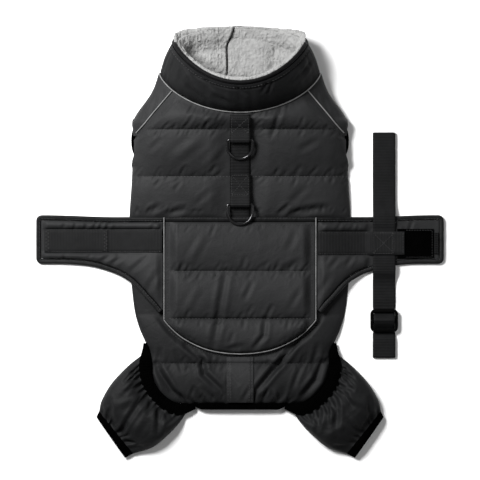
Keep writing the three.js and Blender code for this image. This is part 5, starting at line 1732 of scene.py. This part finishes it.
def stitches(name, routes, under, thread, sunk=0.12):
    """Thread laid in short stitches along routes in x and y, on what lies under them."""
    surface = top_of(*under)
    pitch, length, radius = thread
    sides = 6
    turn = 2 * np.pi * np.arange(sides) / sides
    share = np.array([-0.34, 0.34])
    points, tris, quads = [], [], []
    for route in routes:
        route = np.asarray(route, float)
        gone = gone_along(route)
        count = max(1, round(gone[-1] / pitch))
        for at in (np.arange(count) + 0.5) * gone[-1] / count:
            ends = []
            for s in (at - length / 2, at + length / 2):
                x, y = np.interp(s, gone, route[:, 0]), np.interp(s, gone, route[:, 1])
                z = surface(x, y)
                if z is None:
                    break
                ends.append((x, y, z + radius * 0.5 - sunk))
            if len(ends) < 2:
                continue
            a, b = np.array(ends)
            middle, ahead = (a + b) / 2, (b - a) / max(np.linalg.norm(b - a), 1e-6)
            middle[2] += 0.12
            side = np.cross(ahead, (0, 0, 1.0))
            side /= max(np.linalg.norm(side), 1e-6)
            up = np.cross(side, ahead)
            first = len(points)
            points += [a, b]
            for k in share:
                for t in turn:
                    ring = radius * (math.cos(t) * side + math.sin(t) * up)
                    points.append(middle + k * (b - a) + ring)
            for i in range(sides):
                j = (i + 1) % sides
                near, far = first + 2, first + 2 + sides
                tris += [(first, near + j, near + i), (first + 1, far + i, far + j)]
                quads.append((near + i, near + j, far + j, far + i))
    points = np.array(points)
    uv = np.stack([points[:, 0], points[:, 1]], -1) * MM
    piece = add_mesh(name, points, [np.array(tris), np.array(quads)], THREAD, uv)
    return dress(piece, "webbing")


def box_and_cross(x0, x1, y0, y1):
    corners = [(x0, y0), (x1, y0), (x1, y1), (x0, y1), (x0, y0)]
    return [corners, [(x0, y0), (x1, y1)], [(x0, y1), (x1, y0)]]


def zigzag(x0, x1, y0, y1, pitch=2.0):
    """A bar of zigzag stitches that runs up Y."""
    count = max(2, round((y1 - y0) / pitch))
    ys = np.linspace(y0, y1, count + 1)
    return [[(x0 if i % 2 else x1, ys[i]), (x1 if i % 2 else x0, ys[i + 1])] for i in range(count)]


def make_sewing():
    half = HARNESS_WIDTH / 2 - 1.8
    upper = box_and_cross(-half, half, 113, 128.5) + [[(-half, 110.6), (half, 110.6)]]
    stitches("sewing_loop_upper", upper, ["loop_webbing_upper"], CLOSE_THREAD)
    lower = box_and_cross(-half, half, 49.2, 69.5)
    stitches("sewing_loop_lower", lower, ["loop_webbing_lower"], CLOSE_THREAD)

    x = np.linspace(-76, 76, 40)
    band = [np.stack([x, np.full_like(x, 25.0)], -1), np.stack([x, np.full_like(x, 17.8)], -1)]
    for side in (-1, 1):
        y = np.linspace(17, -76, 30)
        band.append(np.stack([np.full_like(y, side * 75.4), y], -1))
    stitches("sewing_saddle", band, ["quilted_saddle", "bound_edge"], EDGE_THREAD)

    path = along(binding_path(), 400)
    side = upright_sides(point(path[:, 0], path[:, 1], 0), False)[:, :2]
    inner = path + side * (BINDING_WIDTH / 2 - 1.3)
    wing_rows = [inner[inner[:, 0] < -80], inner[inner[:, 0] > 80]]
    stitches("sewing_wing_edges", wing_rows, ["bound_edge"], EDGE_THREAD)

    left = zigzag(-204.3, -199.5, STRIP.left_y - 11.5, STRIP.left_y + 11.5)
    left += zigzag(-143.0, -138.6, STRIP.left_y - 11.5, STRIP.left_y + 11.5)
    for edge in (-11.3, 11.3):
        left.append([(-198.5, STRIP.left_y + edge), (-144, STRIP.left_y + edge)])
        left.append([(-137.2, STRIP.left_y + edge), (-82.5, STRIP.left_y + edge)])
    stitches("sewing_web_left", left, ["web_left_inner", "web_left_outer"], WEB_THREAD)

    y0, y1 = STRIP.right_y - 10.8, STRIP.right_y + 10.8
    right = box_and_cross(139.5, 161.5, y0, y1) + zigzag(158.6, 161.6, y0, y1)
    for edge in (-11.3, 11.3):
        right.append([(82.5, STRIP.right_y + edge), (134, STRIP.right_y + edge)])
    right.append([(170.8, y0), (170.8, y1)])
    stitches("sewing_web_right", right, ["web_right"], WEB_THREAD)

    h = HOOK_PATCH
    from_x, to_x, low_y, high_y = h.x0 + 9, h.x1 - 1.5, h.y0 + 1.5, h.y1 - 1.5
    frame_line = [(from_x, low_y), (to_x, low_y), (to_x, high_y), (from_x, high_y)]
    stitches("sewing_hook", [frame_line], ["hook_tape"], Thread(2.8, 2.0, 0.24))

    angle = np.radians(np.linspace(186, 354, 260))
    rim = off(collar, angle, np.full_like(angle, TOPSTITCH), 0)
    stitches("sewing_collar", [rim[:, :2]], ["collar_cloth"], EDGE_THREAD, sunk=0.0)

    tail = [[(x, -122.5), (x, -167)] for x in (-12.4, -9.6, 9.6, 12.4)]
    stitches("sewing_tail", tail, ["tail_cloth"], Thread(3.0, 2.1, 0.26))

    line = np.linspace(-0.97, 0.97, 160)
    quilting = [back(line, BACK_QUILTING[1])[:, :2], back_cloth(line, BACK_QUILTING[2])[:, :2]]
    stitches("sewing_quilting_back", quilting, ["quilted_back"], QUILT_THREAD)
    x = np.linspace(-75, 75, 40)
    rows = [np.stack([x, np.full_like(x, y)], -1) for y in SADDLE_QUILTING[1:]]
    stitches("sewing_quilting_saddle", rows, ["quilted_saddle"], QUILT_THREAD)
    rows = [rear(line, REAR_QUILTING[1])[:, :2]]
    stitches("sewing_quilting_rear", rows, ["quilted_rear"], QUILT_THREAD)
    x = np.linspace(-75, 75, 90)
    curve = np.stack([x, lower_edge(np.abs(x), -2.2)], -1)
    stitches("sewing_saddle_curve", [curve], ["quilted_rear"], Thread(3.2, 2.2, 0.24))


# Studio

FLOOR_DROP = 0.4
Softbox = namedtuple("Softbox", "name place size watts")
SOFTBOXES = [
    Softbox("Key", (-0.56, 0.5, 0.84), 0.42, 30),
    Softbox("Fill", (0.95, 0.15, 0.9), 0.8, 3.2),
]
SENSOR = 36


def make_studio():
    scene = bpy.context.scene
    bpy.ops.mesh.primitive_plane_add(size=6, location=(0, 0, -FLOOR_DROP * MM))
    floor = bpy.context.object
    floor.name = "Floor"
    white, tree, shader = new_material("studio white", 0.9, {"Specular IOR Level": 0.0})
    shader.inputs["Base Color"].default_value = (0.9, 0.9, 0.9, 1)
    floor.data.materials.append(white)

    for box in SOFTBOXES:
        light = bpy.data.lights.new(box.name, "AREA")
        light.shape = "SQUARE"
        light.size = box.size
        light.energy = box.watts
        lamp = bpy.data.objects.new(box.name, light)
        lamp.location = box.place
        lamp.rotation_mode = "QUATERNION"
        lamp.rotation_quaternion = (Vector((0, 0, 0)) - Vector(box.place)).to_track_quat("-Z", "Y")
        scene.collection.objects.link(lamp)
    world = bpy.data.worlds.new("Studio")
    world.use_nodes = True
    background = world.node_tree.nodes["Background"]
    background.inputs["Color"].default_value = (1, 1, 1, 1)
    background.inputs["Strength"].default_value = 0.15
    scene.world = world
    scene.view_settings.view_transform = "Standard"

    camera = bpy.data.cameras.new("Camera")
    camera.sensor_width = SENSOR
    camera.lens = SENSOR * CAMERA_HEIGHT / (PHOTO_WIDTH * MM_PER_PIXEL)
    camera.clip_start = 0.1
    camera.clip_end = 20
    holder = bpy.data.objects.new("Camera", camera)
    holder.location = (0, CAMERA_Y * MM, CAMERA_HEIGHT * MM)
    scene.collection.objects.link(holder)
    scene.camera = holder


for make in (
    make_studio, make_back, make_shoulders, make_rear, make_belly, make_armholes, make_collar, make_fleece,
    make_piping, make_saddle, make_wings, make_binding, make_strips, make_girth, make_slider, make_harness,
    make_tail, make_hem, make_legs, make_sewing,
):
    make()

bpy.context.view_layer.update()
